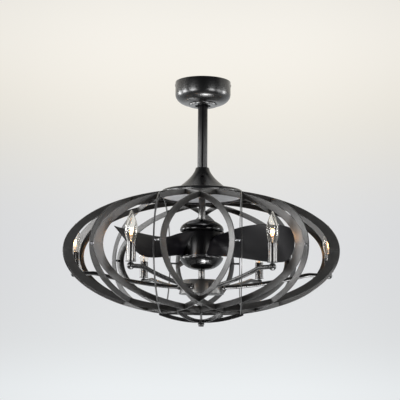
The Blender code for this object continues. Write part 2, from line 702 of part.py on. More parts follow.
def dome_mesh():
    """A fixed dome over the rotor. It turns down at a fold to a rounded rim."""
    neck = SHAFT_RADIUS + GAP
    rise = DOME_TOP - DOME_FOLD
    band = DOME_FOLD - DOME_RIM
    fold = DOME_RADIUS - COVER_WALL
    outside, inside = [], []
    steps = 5
    for i in range(steps + 1):
        share = math.sin(math.pi / 2 * (1 - i / steps))
        outside.append((curved_radius(neck, fold, share, DOME_CURVE_SHARE), level(DOME_FOLD + rise * share)))
        inside.append((curved_radius(neck, fold - COVER_WALL, share, DOME_CURVE_SHARE),
                       level(DOME_FOLD + (rise - COVER_WALL) * share)))
    rim = [(DOME_RADIUS, level(DOME_RIM + band * 0.5)), (fold, level(DOME_RIM)), (fold - COVER_WALL, level(DOME_RIM))]
    return turned(outside + rim + inside[::-1], TURN_STEPS, closed=True)


def bowl_mesh():
    """A fixed bowl under the rotor, open on top, bored for the light kit's tube."""
    top = HUB_BOTTOM - RUNNING_GAP
    shoulder = top - BOWL_RIM
    drop_height = shoulder - BOWL_BOTTOM
    bore = SHAFT_BORE
    outside, inside = [(BOWL_RADIUS, level(top))], [(BOWL_RADIUS - COVER_WALL, level(top))]
    steps = 5
    for i in range(steps + 1):
        share = math.sin(math.pi / 2 * i / steps)
        outside.append((curved_radius(BOWL_FOOT, BOWL_RADIUS, share, BOWL_CURVE_SHARE),
                        level(shoulder - drop_height * share)))
        inside.append((curved_radius(BOWL_FOOT, BOWL_RADIUS - COVER_WALL, share, BOWL_CURVE_SHARE),
                       level(shoulder - (drop_height - COVER_WALL) * share)))
    outside.append((bore, level(BOWL_BOTTOM)))
    inside.append((bore, level(BOWL_BOTTOM + COVER_WALL)))
    return turned(outside + inside[::-1], TURN_STEPS, closed=True)


# Blades. Each station: share of the reach, then angle in degrees and share of the rise of the leading edge
# and of the trailing edge, share of the thickness, and the root's flare: half angle at the leading edge,
# half angle at the trailing edge, and share of the rise by which its two faces part at the leading edge.
BLADE_STATION_SHARES = [
    (0.1920, 15.5, 0.800, -24.5, -0.180, 1.0, 34.5, 19.5, 0.153),
    (0.2038, 15.5, 0.800, -24.5, -0.180, 1.0, 34.5, 19.5, 0.153),
    (0.2151, 7.5, 0.802, -14.5, -0.181, 1.0, 27.0, 15.5, 0.143),
    (0.2264, -0.5, 0.804, -5.0, -0.182, 1.0, 20.5, 12.0, 0.133),
    (0.2566, -12.0, 0.784, 9.0, -0.185, 1.0, 11.0, 7.0, 0.102),
    (0.2943, -20.0, 0.758, 18.0, -0.192, 1.0, 5.0, 4.0, 0.060),
    (0.3396, -24.3, 0.719, 24.5, -0.205, 1.0, 1.4, 1.0, 0.020),
    (0.430, -25, 0.735, 25, -0.250, 1.0, 0, 0, 0),
    (0.560, -24, 0.835, 25, -0.345, 1.0, 0, 0, 0),
    (0.710, -19, 0.970, 25, -0.435, 1.0, 0, 0, 0),
    (0.800, -14, 1.035, 25, -0.450, 1.0, 0, 0, 0),
    (0.865, -9, 1.045, 24, -0.430, 1.0, 0, 0, 0),
    (0.925, -3, 1.035, 21.5, -0.200, 0.9, 0, 0, 0),
    (0.975, 2, 1.015, 17, 0.220, 0.8, 0, 0, 0),
    (1.000, 6, 0.960, 12, 0.640, 0.7, 0, 0, 0),
]


def blade_point(station, t, side):
    """A point of one face of the blade before it gets its thickness. t runs from the leading edge to the
    trailing edge, side is -1 for the front face and 1 for the back one."""
    share, lead_angle, lead_share, trail_angle, trail_share, _, lead_flare, trail_flare, parting = station
    radius = BLADE_REACH * share
    lead = lead_angle + side * lead_flare
    trail = trail_angle + side * trail_flare
    turn = math.radians(lead + (trail - lead) * t)
    high = BLADE_RISE * (lead_share + side * parting)
    height = high + (BLADE_RISE * trail_share - high) * t + BLADE_CAMBER * math.sin(math.pi * t)
    return Vector((radius * math.cos(turn), radius * math.sin(turn), height))


def blade_face(side):
    """Rows of points over one face, each pushed out along the blade's normal by half its thickness."""
    stations = BLADE_STATION_SHARES
    flat = [[blade_point(station, i / BLADE_ROWS, side) for i in range(BLADE_ROWS + 1)] for station in stations]
    rows = []
    for k, station in enumerate(stations):
        row = []
        for i in range(BLADE_ROWS + 1):
            along = flat[min(k + 1, len(flat) - 1)][i] - flat[max(k - 1, 0)][i]
            down = flat[k][min(i + 1, BLADE_ROWS)] - flat[k][max(i - 1, 0)]
            normal = along.cross(down).normalized()
            bow = math.sin(math.pi * i / BLADE_ROWS)
            half = (BLADE_EDGE + (BLADE_THICK * station[5] - BLADE_EDGE) * bow ** 0.7) / 2
            row.append(flat[k][i] + normal * half * side)
        rows.append(row)
    return rows


def round_points(first, last, count):
    """Points between two others, kept at their distance from the axis."""
    found = []
    for i in range(1, count + 1):
        middle = first.lerp(last, i / (count + 1))
        radius = first.xy.length + (last.xy.length - first.xy.length) * i / (count + 1)
        middle.xy *= radius / middle.xy.length
        found.append(middle)
    return found


def blade_mesh():
    """A loft through the sections, cut back to the hub."""
    shape = bmesh.new()
    front, back = blade_face(-1), blade_face(1)
    loops = []
    for first, second in zip(front, back):
        points = first + round_points(first[-1], second[-1], BLADE_END_POINTS)
        points += second[::-1] + round_points(second[0], first[0], BLADE_END_POINTS)
        loops.append([shape.verts.new(point) for point in points])
    count = len(loops[0])
    for first, second in zip(loops, loops[1:]):
        for i in range(count):
            j = (i + 1) % count
            shape.faces.new((first[i], first[j], second[j], second[i]))
    for loop in (loops[0], loops[-1]):
        shape.faces.new(loop)
    bmesh.ops.triangulate(shape, faces=[face for face in shape.faces if len(face.verts) > 4])
    bmesh.ops.recalc_face_normals(shape, faces=shape.faces)
    mesh = bpy.data.meshes.new("blade")
    shape.to_mesh(mesh)
    shape.free()
    mesh.transform(Matrix.Translation((0.0, 0.0, -EQUATOR_DROP)))
    clear = HUB_RADIUS / math.cos(math.pi / TURN_STEPS) + GAP
    core = rod(clear, level(HUB_BOTTOM) - OVERRUN * 4, level(HUB_TOP) + OVERRUN * 4, 2 * TURN_STEPS)
    return shade(combine(mesh, [core], "DIFFERENCE"), math.radians(50))


def add_blades():
    mesh = blade_mesh()
    for k in range(BLADE_COUNT):
        add_part(f"blade_{k + 1}", mesh.copy(), BLADE_BLACK, BLADE_TURN + 2 * math.pi * k / BLADE_COUNT)


# Light kit
def hub_radius_at(height):
    share = (LIGHT_HUB_TOP - height) / (LIGHT_HUB_TOP - LIGHT_HUB_BOTTOM)
    return LIGHT_HUB_TOP_RADIUS + (LIGHT_HUB_BOTTOM_RADIUS - LIGHT_HUB_TOP_RADIUS) * share


def add_light_hub():
    """A tapered cup, closed on top round the tube, with a floor that the tie rod meets and a port for each arm."""
    add_part("light_kit_tube", shade(ring(TUBE_RADIUS, SHAFT_BORE, level(LIGHT_HUB_TOP + GAP),
                                          level(BOWL_BOTTOM - GAP), 24)), SATIN_BLACK)
    wall = LIGHT_HUB_WALL
    top, bottom = level(LIGHT_HUB_TOP), level(LIGHT_HUB_BOTTOM)
    outside = [
        (SHAFT_BORE, top), (LIGHT_HUB_TOP_RADIUS - wall, top), (LIGHT_HUB_TOP_RADIUS, top - wall),
        (LIGHT_HUB_BOTTOM_RADIUS, bottom + wall), (LIGHT_HUB_BOTTOM_RADIUS, bottom),
    ]
    inside = [
        (0.0, bottom), (0.0, bottom + wall), (LIGHT_HUB_BOTTOM_RADIUS - wall, bottom + wall),
        (LIGHT_HUB_TOP_RADIUS - wall, top - wall), (SHAFT_BORE, top - wall),
    ]
    cup = turned([inside[1]] + inside[2:] + outside + [inside[0]], TURN_STEPS)
    ports = []
    for k in range(LIGHT_COUNT):
        port = moved(rod(ARM_RADIUS + GAP, ARM_ROOT - OVERRUN, LIGHT_HUB_BOTTOM_RADIUS + OVERRUN, 12), lay="X")
        port.transform(Matrix.Translation((0.0, 0.0, level(ARM_LEVEL))))
        ports.append(moved(port, turn=2 * math.pi * k / LIGHT_COUNT))
    add_part("light_kit_hub", shade(combine(cup, [joined(ports)], "DIFFERENCE")), SATIN_BLACK)


def arm_path():
    """Straight out of the hub, up in a shallow curve to the knee, then level to the ball."""
    start = hub_radius_at(ARM_LEVEL) + FERRULE_LENGTH
    knee = LIGHT_CIRCLE - ARM_LEVEL_RUN
    points = [(ARM_ROOT, ARM_LEVEL), (start, ARM_LEVEL)]
    steps = 5
    for i in range(1, steps + 1):
        share = i / steps
        points.append((start + (knee - start) * share,
                       ARM_LEVEL + (ARM_KNEE_LEVEL - ARM_LEVEL) * share ** 1.5))
    points.append((knee + 2 * ARM_RADIUS, ARM_KNEE_LEVEL - (ARM_KNEE_LEVEL - ARM_BALL_LEVEL) * 0.1))
    points.append((LIGHT_CIRCLE, ARM_BALL_LEVEL))
    return points


def arm_mesh():
    curve = bpy.data.curves.new("arm", "CURVE")
    curve.dimensions = "3D"
    curve.bevel_depth = ARM_RADIUS
    curve.bevel_resolution = 1
    curve.use_fill_caps = True
    spline = curve.splines.new("POLY")
    points = arm_path()
    spline.points.add(len(points) - 1)
    for point, (along, height) in zip(spline.points, points):
        point.co = (along, 0.0, level(height), 1.0)
    piece = bpy.data.objects.new("arm", curve)
    PARTS.objects.link(piece)
    tube = evaluated_mesh(piece)
    drop(piece)
    profile = arc((0.0, level(ARM_BALL_LEVEL)), ARM_BALL_RADIUS, 90, -90, 5)
    ball = turned([(0.0, profile[0][1])] + profile[1:-1] + [(0.0, profile[-1][1])], 10)
    ball.transform(Matrix.Translation((LIGHT_CIRCLE, 0.0, 0.0)))
    start = hub_radius_at(ARM_LEVEL - FERRULE_RADIUS) + GAP
    ferrule = turned([
        (0.0, start + FERRULE_LENGTH), (FERRULE_RADIUS * 0.8, start + FERRULE_LENGTH),
        (FERRULE_RADIUS, start + FERRULE_LENGTH * 0.75), (FERRULE_RADIUS, start), (0.0, start),
    ], 10)
    ferrule = moved(ferrule, lay="X")
    ferrule.transform(Matrix.Translation((0.0, 0.0, level(ARM_LEVEL))))
    return shade(combine(tube, [ball, ferrule], "UNION"))


def sleeve_mesh():
    """A candle sleeve: a foot flange, a straight wall and a socket bored from the top."""
    radius, wide = SLEEVE_RADIUS, SLEEVE_RADIUS * 1.1
    bottom = ARM_BALL_LEVEL + ARM_BALL_RADIUS + GAP
    profile = [
        (0.0, SLEEVE_TOP - SOCKET_DEPTH), (SOCKET_RADIUS, SLEEVE_TOP - SOCKET_DEPTH),
        (SOCKET_RADIUS, SLEEVE_TOP), (radius, SLEEVE_TOP), (radius, bottom + 2 * SLEEVE_FLANGE),
        (wide, bottom + 1.5 * SLEEVE_FLANGE), (wide, bottom + SLEEVE_FLANGE * 0.5),
        (radius * 0.8, bottom), (0.0, bottom),
    ]
    made = turned([(r, level(z)) for r, z in profile], SMALL_STEPS)
    made.transform(Matrix.Translation((LIGHT_CIRCLE, 0.0, 0.0)))
    return shade(made)


def bulb_mesh():
    """A candle bulb: flame-shaped glass on a screw cap that goes down in the socket."""
    seat = SLEEVE_TOP + GAP
    cap_bottom = seat - BULB_CAP_LENGTH
    profile = [(0.0, BULB_TIP)]
    span = BULB_TIP - BULB_WIDEST
    for share, radius_share in ((0.93, 0.15), (0.75, 0.42), (0.55, 0.68), (0.30, 0.92)):
        profile.append((BULB_RADIUS * radius_share, BULB_WIDEST + span * share))
    profile.append((BULB_RADIUS, BULB_WIDEST))
    profile.append((BULB_RADIUS * 0.93, seat + (BULB_WIDEST - seat) * 0.55))
    profile.append((BULB_RADIUS * 0.76, seat + (BULB_WIDEST - seat) * 0.22))
    profile += [(BULB_NECK, seat), (BULB_CAP_RADIUS, seat), (BULB_CAP_RADIUS, cap_bottom + BULB_CAP_RADIUS * 0.6),
                (BULB_CAP_RADIUS * 0.5, cap_bottom), (0.0, cap_bottom)]
    made = turned([(r, level(z)) for r, z in profile], SMALL_STEPS)
    made.transform(Matrix.Translation((LIGHT_CIRCLE, 0.0, 0.0)))
    return shade(made, math.radians(50))


def add_lights():
    arm, sleeve, bulb = arm_mesh(), sleeve_mesh(), bulb_mesh()
    for k in range(LIGHT_COUNT):
        turn = 2 * math.pi * k / LIGHT_COUNT
        add_part(f"light_arm_{k + 1}", arm.copy(), SATIN_BLACK, turn)
        add_part(f"candle_sleeve_{k + 1}", sleeve.copy(), GLOSS_BLACK, turn)
        add_part(f"bulb_{k + 1}", bulb.copy(), BULB_GLASS, turn)


clear_scene()
PARTS = add_collection("caged_ceiling_fan")
CUTTERS = add_collection("cutters")
add_ceiling_bracket()
add_hanger()
add_canopy()
add_downrod()
add_coupling()
add_top_plate()
add_motor()
add_blades()
add_light_hub()
add_lights()
add_hoops()
add_bottom_bracket()
add_tie_rod()
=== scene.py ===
# Caged ceiling fan with six candle lights: looks and light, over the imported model.
import math

import bpy
from mathutils import Matrix, Vector


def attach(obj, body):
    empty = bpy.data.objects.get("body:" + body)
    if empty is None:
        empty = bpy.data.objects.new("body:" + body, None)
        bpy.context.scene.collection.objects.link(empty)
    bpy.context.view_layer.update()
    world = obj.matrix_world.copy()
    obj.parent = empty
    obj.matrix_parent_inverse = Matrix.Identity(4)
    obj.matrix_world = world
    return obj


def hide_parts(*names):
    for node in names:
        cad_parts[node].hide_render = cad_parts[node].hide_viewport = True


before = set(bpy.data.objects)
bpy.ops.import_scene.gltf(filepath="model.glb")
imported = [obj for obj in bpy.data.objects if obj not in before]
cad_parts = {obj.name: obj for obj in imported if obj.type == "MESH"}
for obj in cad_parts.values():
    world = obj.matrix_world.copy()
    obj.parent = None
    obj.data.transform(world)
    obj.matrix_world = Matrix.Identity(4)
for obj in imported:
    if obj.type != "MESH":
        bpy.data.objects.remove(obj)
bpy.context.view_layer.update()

general = {
    "equator": -0.474,        # level of the cage's widest ring, in metres from the ceiling
    "smoothAngle": 38,        # degrees, sharper edges stay sharp
    "bevelAngle": 30, "bevelSteps": 2,
    "axisRadius": 0.00002,    # a turned piece that closes on its axis starts from this
    "sameRadius": 1e-7, "weld": 1e-6,
    "flatWeight": 80,
}
# sides of the turned pieces
sides = {"plate": 120, "large": 96, "bell": 80, "pipe": 48, "tube": 40, "ferrule": 32, "cap": 28,
         "small": 24, "nub": 20, "rivet": 16}


# small tools, used by every piece
def deselectAll():
    if bpy.context.object and bpy.context.object.mode != "OBJECT":
        bpy.ops.object.mode_set(mode="OBJECT")
    bpy.ops.object.select_all(action="DESELECT")


def primitive(operator, **settings):
    deselectAll()
    operator(**settings)
    return bpy.context.object


def pick(piece):
    deselectAll()
    piece.select_set(True)
    bpy.context.view_layer.objects.active = piece


def settle(piece):
    pick(piece)
    for modifier in list(piece.modifiers):
        bpy.ops.object.modifier_apply(modifier=modifier.name)
    bpy.ops.object.transform_apply(location=True, rotation=True, scale=True)


def smooth(piece, degrees=None):
    pick(piece)
    bpy.ops.object.shade_smooth_by_angle(angle=math.radians(degrees or general["smoothAngle"]))


def flatten(piece):
    # keeps large faces flat between their small bevels
    weighted = piece.modifiers.new("weighted", "WEIGHTED_NORMAL")
    weighted.weight = general["flatWeight"]
    weighted.keep_sharp = True
    settle(piece)


def editWhole(piece):
    pick(piece)
    bpy.ops.object.mode_set(mode="EDIT")
    bpy.ops.mesh.select_all(action="SELECT")


def sealMesh(piece, gap=0.0, fillHoles=False):
    # welds doubled points, closes holes where asked, and turns every face outward
    editWhole(piece)
    if gap:
        bpy.ops.mesh.remove_doubles(threshold=gap)
    if fillHoles:
        bpy.ops.mesh.fill_holes(sides=0)
    bpy.ops.mesh.normals_make_consistent(inside=False)
    bpy.ops.object.mode_set(mode="OBJECT")


def addBevel(piece, width, degrees=None):
    bevel = piece.modifiers.new("bevel", "BEVEL")
    bevel.width = width
    bevel.segments = general["bevelSteps"]
    bevel.limit_method = "ANGLE"
    bevel.angle_limit = math.radians(degrees or general["bevelAngle"])
    bevel.harden_normals = False


def addSheet(piece, thickness):
    sheet = piece.modifiers.new("sheet", "SOLIDIFY")
    sheet.thickness = thickness
    sheet.offset = 0
    settle(piece)


def turnPiece(name, rings, segments, bevel=0.0):
    # grows a turned piece ring by ring: (radius, height), closed when the last ring is the first again
    tiny = general["axisRadius"]
    rings = [(max(radius, tiny), height) for radius, height in rings]
    radius, height = rings[0]
    piece = primitive(bpy.ops.mesh.primitive_circle_add, vertices=segments, radius=radius, location=(0, 0, 0))
    piece.name = name
    editWhole(piece)
    bpy.ops.transform.translate(value=(0, 0, height))
    for nextRadius, nextHeight in rings[1:]:
        bpy.ops.mesh.extrude_region_move(TRANSFORM_OT_translate={"value": (0, 0, nextHeight - height)})
        if abs(nextRadius - radius) > general["sameRadius"]:
            share = nextRadius / radius
            bpy.ops.transform.resize(value=(share, share, 1), center_override=(0, 0, nextHeight))
        radius, height = nextRadius, nextHeight
    sealMesh(piece, tiny * 2)
    if bevel:
        addBevel(piece, bevel)
    return piece


def level(height):
    return height + general["equator"]


def turnAtFan(name, rings, segments, bevel=0.0):
    # the heights of these rings count from the equator
    return turnPiece(name, [(radius, level(height)) for radius, height in rings], segments, bevel)


def makePipe(name, radius, bore, high, low, segments, bevel):
    return turnPiece(name, [(radius, high), (radius, low), (bore, low), (bore, high), (radius, high)],
                     segments, bevel)


def addBox(name, size, centre, turn=0.0, bevel=0.0):
    piece = primitive(bpy.ops.mesh.primitive_cube_add, size=1, location=centre)
    piece.name = name
    piece.scale = size
    settle(piece)
    if bevel:
        addBevel(piece, bevel)
    piece.rotation_euler.z = turn
    settle(piece)
    return piece


def addRod(radius, length, place, turn):
    rod = primitive(bpy.ops.mesh.primitive_cylinder_add, vertices=sides["small"], radius=radius, depth=length,
                    location=place, rotation=turn)
    settle(rod)
    return rod


def gridPiece(across, along, place):
    # a sheet whose points go where place puts them, by their shares of the way across and along
    piece = primitive(bpy.ops.mesh.primitive_grid_add, x_subdivisions=across, y_subdivisions=along, size=1)
    for vertex in piece.data.vertices:
        vertex.co = place(vertex.co.x + 0.5, vertex.co.y + 0.5)
    return piece


def scaledRings(shares, radius, height, base=0.0):
    return [(radius * wide, base + height * high) for wide, high in shares]


def joinPieces(pieces, name):
    deselectAll()
    for piece in pieces:
        piece.select_set(True)
    bpy.context.view_layer.objects.active = pieces[0]
    if len(pieces) > 1:
        bpy.ops.object.join()
    joined = bpy.context.object
    joined.name = name
    joined.data.name = name
    return joined


def cutWith(piece, cutters):
    cutter = joinPieces(cutters, "cutter")
    boolean = piece.modifiers.new("cut", "BOOLEAN")
    boolean.operation = "DIFFERENCE"
    boolean.solver = "EXACT"
    boolean.object = cutter
    pick(piece)
    bpy.ops.object.modifier_apply(modifier="cut")
    discard(cutter)


def around(k, count, degrees=0.0):
    # angle of place k out of count round the fan
    return math.radians(degrees) + 2 * math.pi * k / count


def closedRings(outer, inner):
    # down along the outer face and back along the inner one
    return outer + inner[::-1] + outer[:1]


def discard(*pieces):
    for piece in pieces:
        bpy.data.objects.remove(piece, do_unlink=True)


def turnedCopy(piece, name, angle):
    copy = piece.copy()
    copy.data = piece.data.copy()
    copy.name = name
    copy.data.name = name
    bpy.context.scene.collection.objects.link(copy)
    copy.rotation_euler.z = angle
    settle(copy)
    return copy


def tubeAlong(name, points, radius, roundness=6, resolution=8):
    piece = primitive(bpy.ops.curve.primitive_bezier_curve_add)
    piece.name = name
    piece.data.dimensions = "3D"
    piece.data.bevel_depth = radius
    piece.data.bevel_resolution = roundness
    piece.data.resolution_u = resolution
    piece.data.use_fill_caps = True
    spline = piece.data.splines[0]
    spline.bezier_points.add(len(points) - len(spline.bezier_points))
    for knot, place in zip(spline.bezier_points, points):
        knot.co = place
        knot.handle_left_type = knot.handle_right_type = "AUTO"
    pick(piece)
    bpy.ops.object.convert(target="MESH")
    piece = bpy.context.object
    sealMesh(piece, general["weld"])
    return piece


def dress(piece, body, paint, *nodes, slot=None):
    # without a paint the piece keeps its own
    if paint:
        piece.data.materials.clear()
        piece.data.materials.append(finish[paint])
    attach(piece, body)
    if nodes:
        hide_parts(*nodes)


def complete(piece, body, paint, *nodes, degrees=None, flat=False, slot=None):
    settle(piece)
    smooth(piece, degrees)
    if flat:
        flatten(piece)
    dress(piece, body, paint, *nodes, slot=slot)


# finishes
coat = {
    # noise: scale, detail, roughness; range: from low, high to low, high
    "cloud": (14.0, 4.0), "cloudRange": (0.3, 0.7, 0.82, 1.22),
    "edgeRange": (0.52, 0.60, 0.0, 1.0),
    "scuff": (70.0, 5.0, 0.65), "scuffRange": (0.45, 0.62, 0.0, 1.0),
    "upRange": (0.3, 1.0, 0.0, 1.0), "grains": (260.0, 3.0, 0.7), "dustColour": (0.34, 0.33, 0.31, 1),
    "smear": (32.0, 5.0, 0.6), "smearRange": (0.3, 0.7, -0.025, 0.035),
    "peel": (2.0, 0.5), "peelStrength": 0.35,
}
glass = {"colour": (1.0, 0.985, 0.95, 1), "bend": 1.45, "haze": (90.0, 3.0),
         "hazeRange": (0.35, 0.75, 0.02, 0.07)}
glow = {"colour": (1.0, 0.60, 0.29, 1), "strength": 5.2}
winding = {"turns": 160.0, "waver": 1.5, "dark": (0.10, 0.035, 0.012, 1), "light": (0.55, 0.22, 0.08, 1),
           "depth": 0.0004, "metallic": 0.8, "roughness": 0.4}


def fill(tree, node, inputs):
    # each input takes another node's output or a plain value
    for label, source in inputs.items():
        if isinstance(source, bpy.types.NodeSocket):
            tree.links.new(source, node.inputs[label])
        elif source is not None:
            node.inputs[label].default_value = source


def addNode(tree, kind, inputs=None, **settings):
    node = tree.nodes.new(f"ShaderNode{kind}")
    for label, value in settings.items():
        setattr(node, label, value)
    fill(tree, node, inputs or {})
    return node


def noise(tree, place, scale, detail, roughness=0.55):
    return addNode(tree, "TexNoise", {"Vector": place, "Scale": scale, "Detail": detail,
                                      "Roughness": roughness}).outputs["Fac"]


def remap(tree, source, low, high, toLow, toHigh, **settings):
    return addNode(tree, "MapRange", {"Value": source, "From Min": low, "From Max": high, "To Min": toLow,
                                      "To Max": toHigh}, **settings).outputs["Result"]


def calc(tree, operation, first, second=None, **settings):
    return addNode(tree, "Math", {0: first, 1: second}, operation=operation, **settings).outputs["Value"]


def product(tree, *factors):
    result = factors[0]
    for factor in factors[1:]:
        result = calc(tree, "MULTIPLY", result, factor)
    return result


def mixColours(tree, factor, first, second):
    mix = addNode(tree, "Mix", {"Factor": factor, "A": first, "B": second}, data_type="RGBA")
    return mix.outputs["Result"]


def mixShaders(tree, factor, first, second, end="Material Output"):
    mix = addNode(tree, "MixShader", {"Fac": factor, 1: first, 2: second})
    fill(tree, tree.nodes[end], {"Surface": mix.outputs["Shader"]})


def makePaintGroup():
    # sprayed or powder coat: cloudy tone, rubbed edges, dust on upward faces, orange peel height
    group = bpy.data.node_groups.new("paintedMetal", "ShaderNodeTree")
    sockets = {"INPUT": {"Colour": "Color", "Rubbed Colour": "Color", "Roughness": "Float",
                         "Peel Scale": "Float", "Wear": "Float", "Dust": "Float"},
               "OUTPUT": {"Colour": "Color", "Roughness": "Float", "Height": "Float"}}
    for direction, labels in sockets.items():
        for label, kind in labels.items():
            group.interface.new_socket(name=label, in_out=direction, socket_type=f"NodeSocket{kind}")
    start, end = group.nodes.new("NodeGroupInput").outputs, group.nodes.new("NodeGroupOutput")
    place, shape = addNode(group, "TexCoord").outputs["Object"], addNode(group, "NewGeometry").outputs
    tone = remap(group, noise(group, place, *coat["cloud"]), *coat["cloudRange"])
    toned = addNode(group, "VectorMath", {0: start["Colour"], "Scale": tone},
                    operation="SCALE").outputs["Vector"]
    edge = remap(group, shape["Pointiness"], *coat["edgeRange"])
    scuff = remap(group, noise(group, place, *coat["scuff"]), *coat["scuffRange"])
    edged = mixColours(group, product(group, edge, scuff, start["Wear"]), toned, start["Rubbed Colour"])
    up = addNode(group, "SeparateXYZ", {"Vector": shape["Normal"]}).outputs["Z"]
    lying = remap(group, up, *coat["upRange"])
    dusty = product(group, lying, noise(group, place, *coat["grains"]), start["Dust"])
    smear = remap(group, noise(group, place, *coat["smear"]), *coat["smearRange"])
    rough = calc(group, "ADD", calc(group, "ADD", start["Roughness"], smear), dusty, use_clamp=True)
    fill(group, end, {"Colour": mixColours(group, dusty, edged, coat["dustColour"]), "Roughness": rough,
                      "Height": noise(group, place, start["Peel Scale"], *coat["peel"])})


def newMaterial(name):
    material = bpy.data.materials.new(name)
    material.use_nodes = True
    return material, material.node_tree, material.node_tree.nodes["Principled BSDF"]


def makePainted(name, colour, roughness, peelHeight, rubbed=(0.1, 0.1, 0.1), peelScale=600, wear=0.0,
                dust=0.0, metallic=0.0, coatWeight=0.0, coatRoughness=0.1, specular=0.5):
    # the rubbed colour shows only where there is wear
    material, tree, shader = newMaterial(name)
    paint = addNode(tree, "Group", {
        "Colour": (*colour, 1), "Rubbed Colour": (*rubbed, 1), "Roughness": roughness,
        "Peel Scale": peelScale, "Wear": wear, "Dust": dust},
        node_tree=bpy.data.node_groups["paintedMetal"]).outputs
    bump = addNode(tree, "Bump", {"Strength": coat["peelStrength"], "Distance": peelHeight,
                                  "Height": paint["Height"]})
    fill(tree, shader, {
        "Base Color": paint["Colour"], "Roughness": paint["Roughness"], "Normal": bump.outputs["Normal"],
        "Metallic": metallic, "Coat Weight": coatWeight, "Coat Roughness": coatRoughness,
        "Specular IOR Level": specular})
    return material


def makeGlass(name):
    material, tree, shader = newMaterial(name)
    haze = noise(tree, addNode(tree, "TexCoord").outputs["Object"], *glass["haze"])
    fill(tree, shader, {"Base Color": glass["colour"], "IOR": glass["bend"], "Transmission Weight": 1.0,
                        "Roughness": remap(tree, haze, *glass["hazeRange"])})
    return material


def makeGlow(name):
    material, tree, shader = newMaterial(name)
    fill(tree, shader, {"Base Color": glow["colour"], "Emission Color": glow["colour"],
                        "Emission Strength": glow["strength"]})
    return material


def makeWinding(name):
    # copper wire wound in fine turns over grey laminations
    material, tree, shader = newMaterial(name)
    turns = addNode(tree, "TexWave", {"Vector": addNode(tree, "TexCoord").outputs["Object"],
                                      "Scale": winding["turns"], "Distortion": winding["waver"]},
                    bands_direction="Z").outputs["Fac"]
    ramp = addNode(tree, "ValToRGB", {"Fac": turns})
    ramp.color_ramp.elements[0].color = winding["dark"]
    ramp.color_ramp.elements[1].color = winding["light"]
    bump = addNode(tree, "Bump", {"Distance": winding["depth"], "Height": turns})
    fill(tree, shader, {"Base Color": ramp.outputs["Color"], "Normal": bump.outputs["Normal"],
                        "Metallic": winding["metallic"], "Roughness": winding["roughness"]})
    return material


makePaintGroup()
# colour, roughness and height of the orange peel, then what differs from plain paint
paints = {
    "satinBlack": ((0.004, 0.004, 0.0045), 0.27, 0.000006, {"dust": 0.02}),
    "rodBlack": ((0.003, 0.003, 0.0035), 0.30, 0.000004, {"specular": 0.19}),
    "hoopBlack": ((0.020, 0.020, 0.0197), 0.31, 0.00014, {"peelScale": 420, "wear": 0.4, "dust": 0.01,
                                                          "specular": 0.35}),
    "plateZinc": ((0.50, 0.50, 0.515), 0.36, 0.000002, {"metallic": 1.0}),
    "canopyBlack": ((0.0012, 0.0012, 0.0016), 0.36, 0.000002, {"dust": 0.01, "coatWeight": 1.0,
                                                               "coatRoughness": 0.26, "specular": 0.08}),
    "glossBlack": ((0.001, 0.001, 0.0014), 0.17, 0.000002, {"specular": 0.25}),
    "bowlBlack": ((0.001, 0.001, 0.0014), 0.20, 0.000002, {}),
    "hubBlack": ((0.002, 0.002, 0.0025), 0.23, 0.000004, {"specular": 0.13}),
    "bladeBlack": ((0.0021, 0.0018, 0.0034), 0.50, 0.00002, {"peelScale": 1600, "specular": 0.08}),
    "gunmetal": ((0.075, 0.074, 0.073), 0.20, 0.000004, {"metallic": 0.85}),
    "cupMetal": ((0.068, 0.068, 0.067), 0.34, 0.000004, {"rubbed": (0.2, 0.2, 0.2), "wear": 0.3,
                                                         "metallic": 0.9}),
    "plainSteel": ((0.40, 0.40, 0.41), 0.30, 0.00004, {"rubbed": (0.65, 0.65, 0.66), "peelScale": 500,
                                                       "wear": 0.5, "dust": 0.05, "metallic": 1.0}),
    "screwSteel": ((0.16, 0.16, 0.17), 0.26, 0.00003, {"rubbed": (0.5, 0.5, 0.5), "peelScale": 500,
                                                       "wear": 0.6, "dust": 0.02, "metallic": 0.9}),
}
finish = {name: makePainted(name, *values, **others) for name, (*values, others) in paints.items()}
finish.update(bulbGlass=makeGlass("bulbGlass"), filamentGlow=makeGlow("filamentGlow"),
              copperWinding=makeWinding("copperWinding"))
print("finishes made")

# hidden and plain CAD nodes keep their shape and get a finish
keptNodes = {
    "ceiling_bracket": "plainSteel", "hanger_ball": "satinBlack", "hanger_pin": "plainSteel",
    "motor_coupling": "plainSteel", "coupling_pin": "plainSteel", "motor_stator": "copperWinding",
    "upper_bearing": "plainSteel", "lower_bearing": "plainSteel", "tie_rod": "satinBlack",
}
for nodeName, finishName in keptNodes.items():
    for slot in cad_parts[nodeName].material_slots:
        slot.material = finish[finishName]
print("kept nodes finished")

# canopy
canopy = {
    "radius": 0.0765, "wall": 0.0012, "straight": 0.034, "depth": 0.0625, "mouth": 0.0366, "trim": 0.0215,
    "lip": 0.004, "topGap": 0.0003, "curveSteps": 14, "edge": 0.0004, "edgeAngle": 40,
    "screwDepth": 0.009, "screwHead": 0.0042, "screwThick": 0.0009, "shank": 0.002, "shankLength": 0.010,
    "slotWidth": 0.0009, "slotDepth": 0.0010, "slotReachShare": 1.1,
}


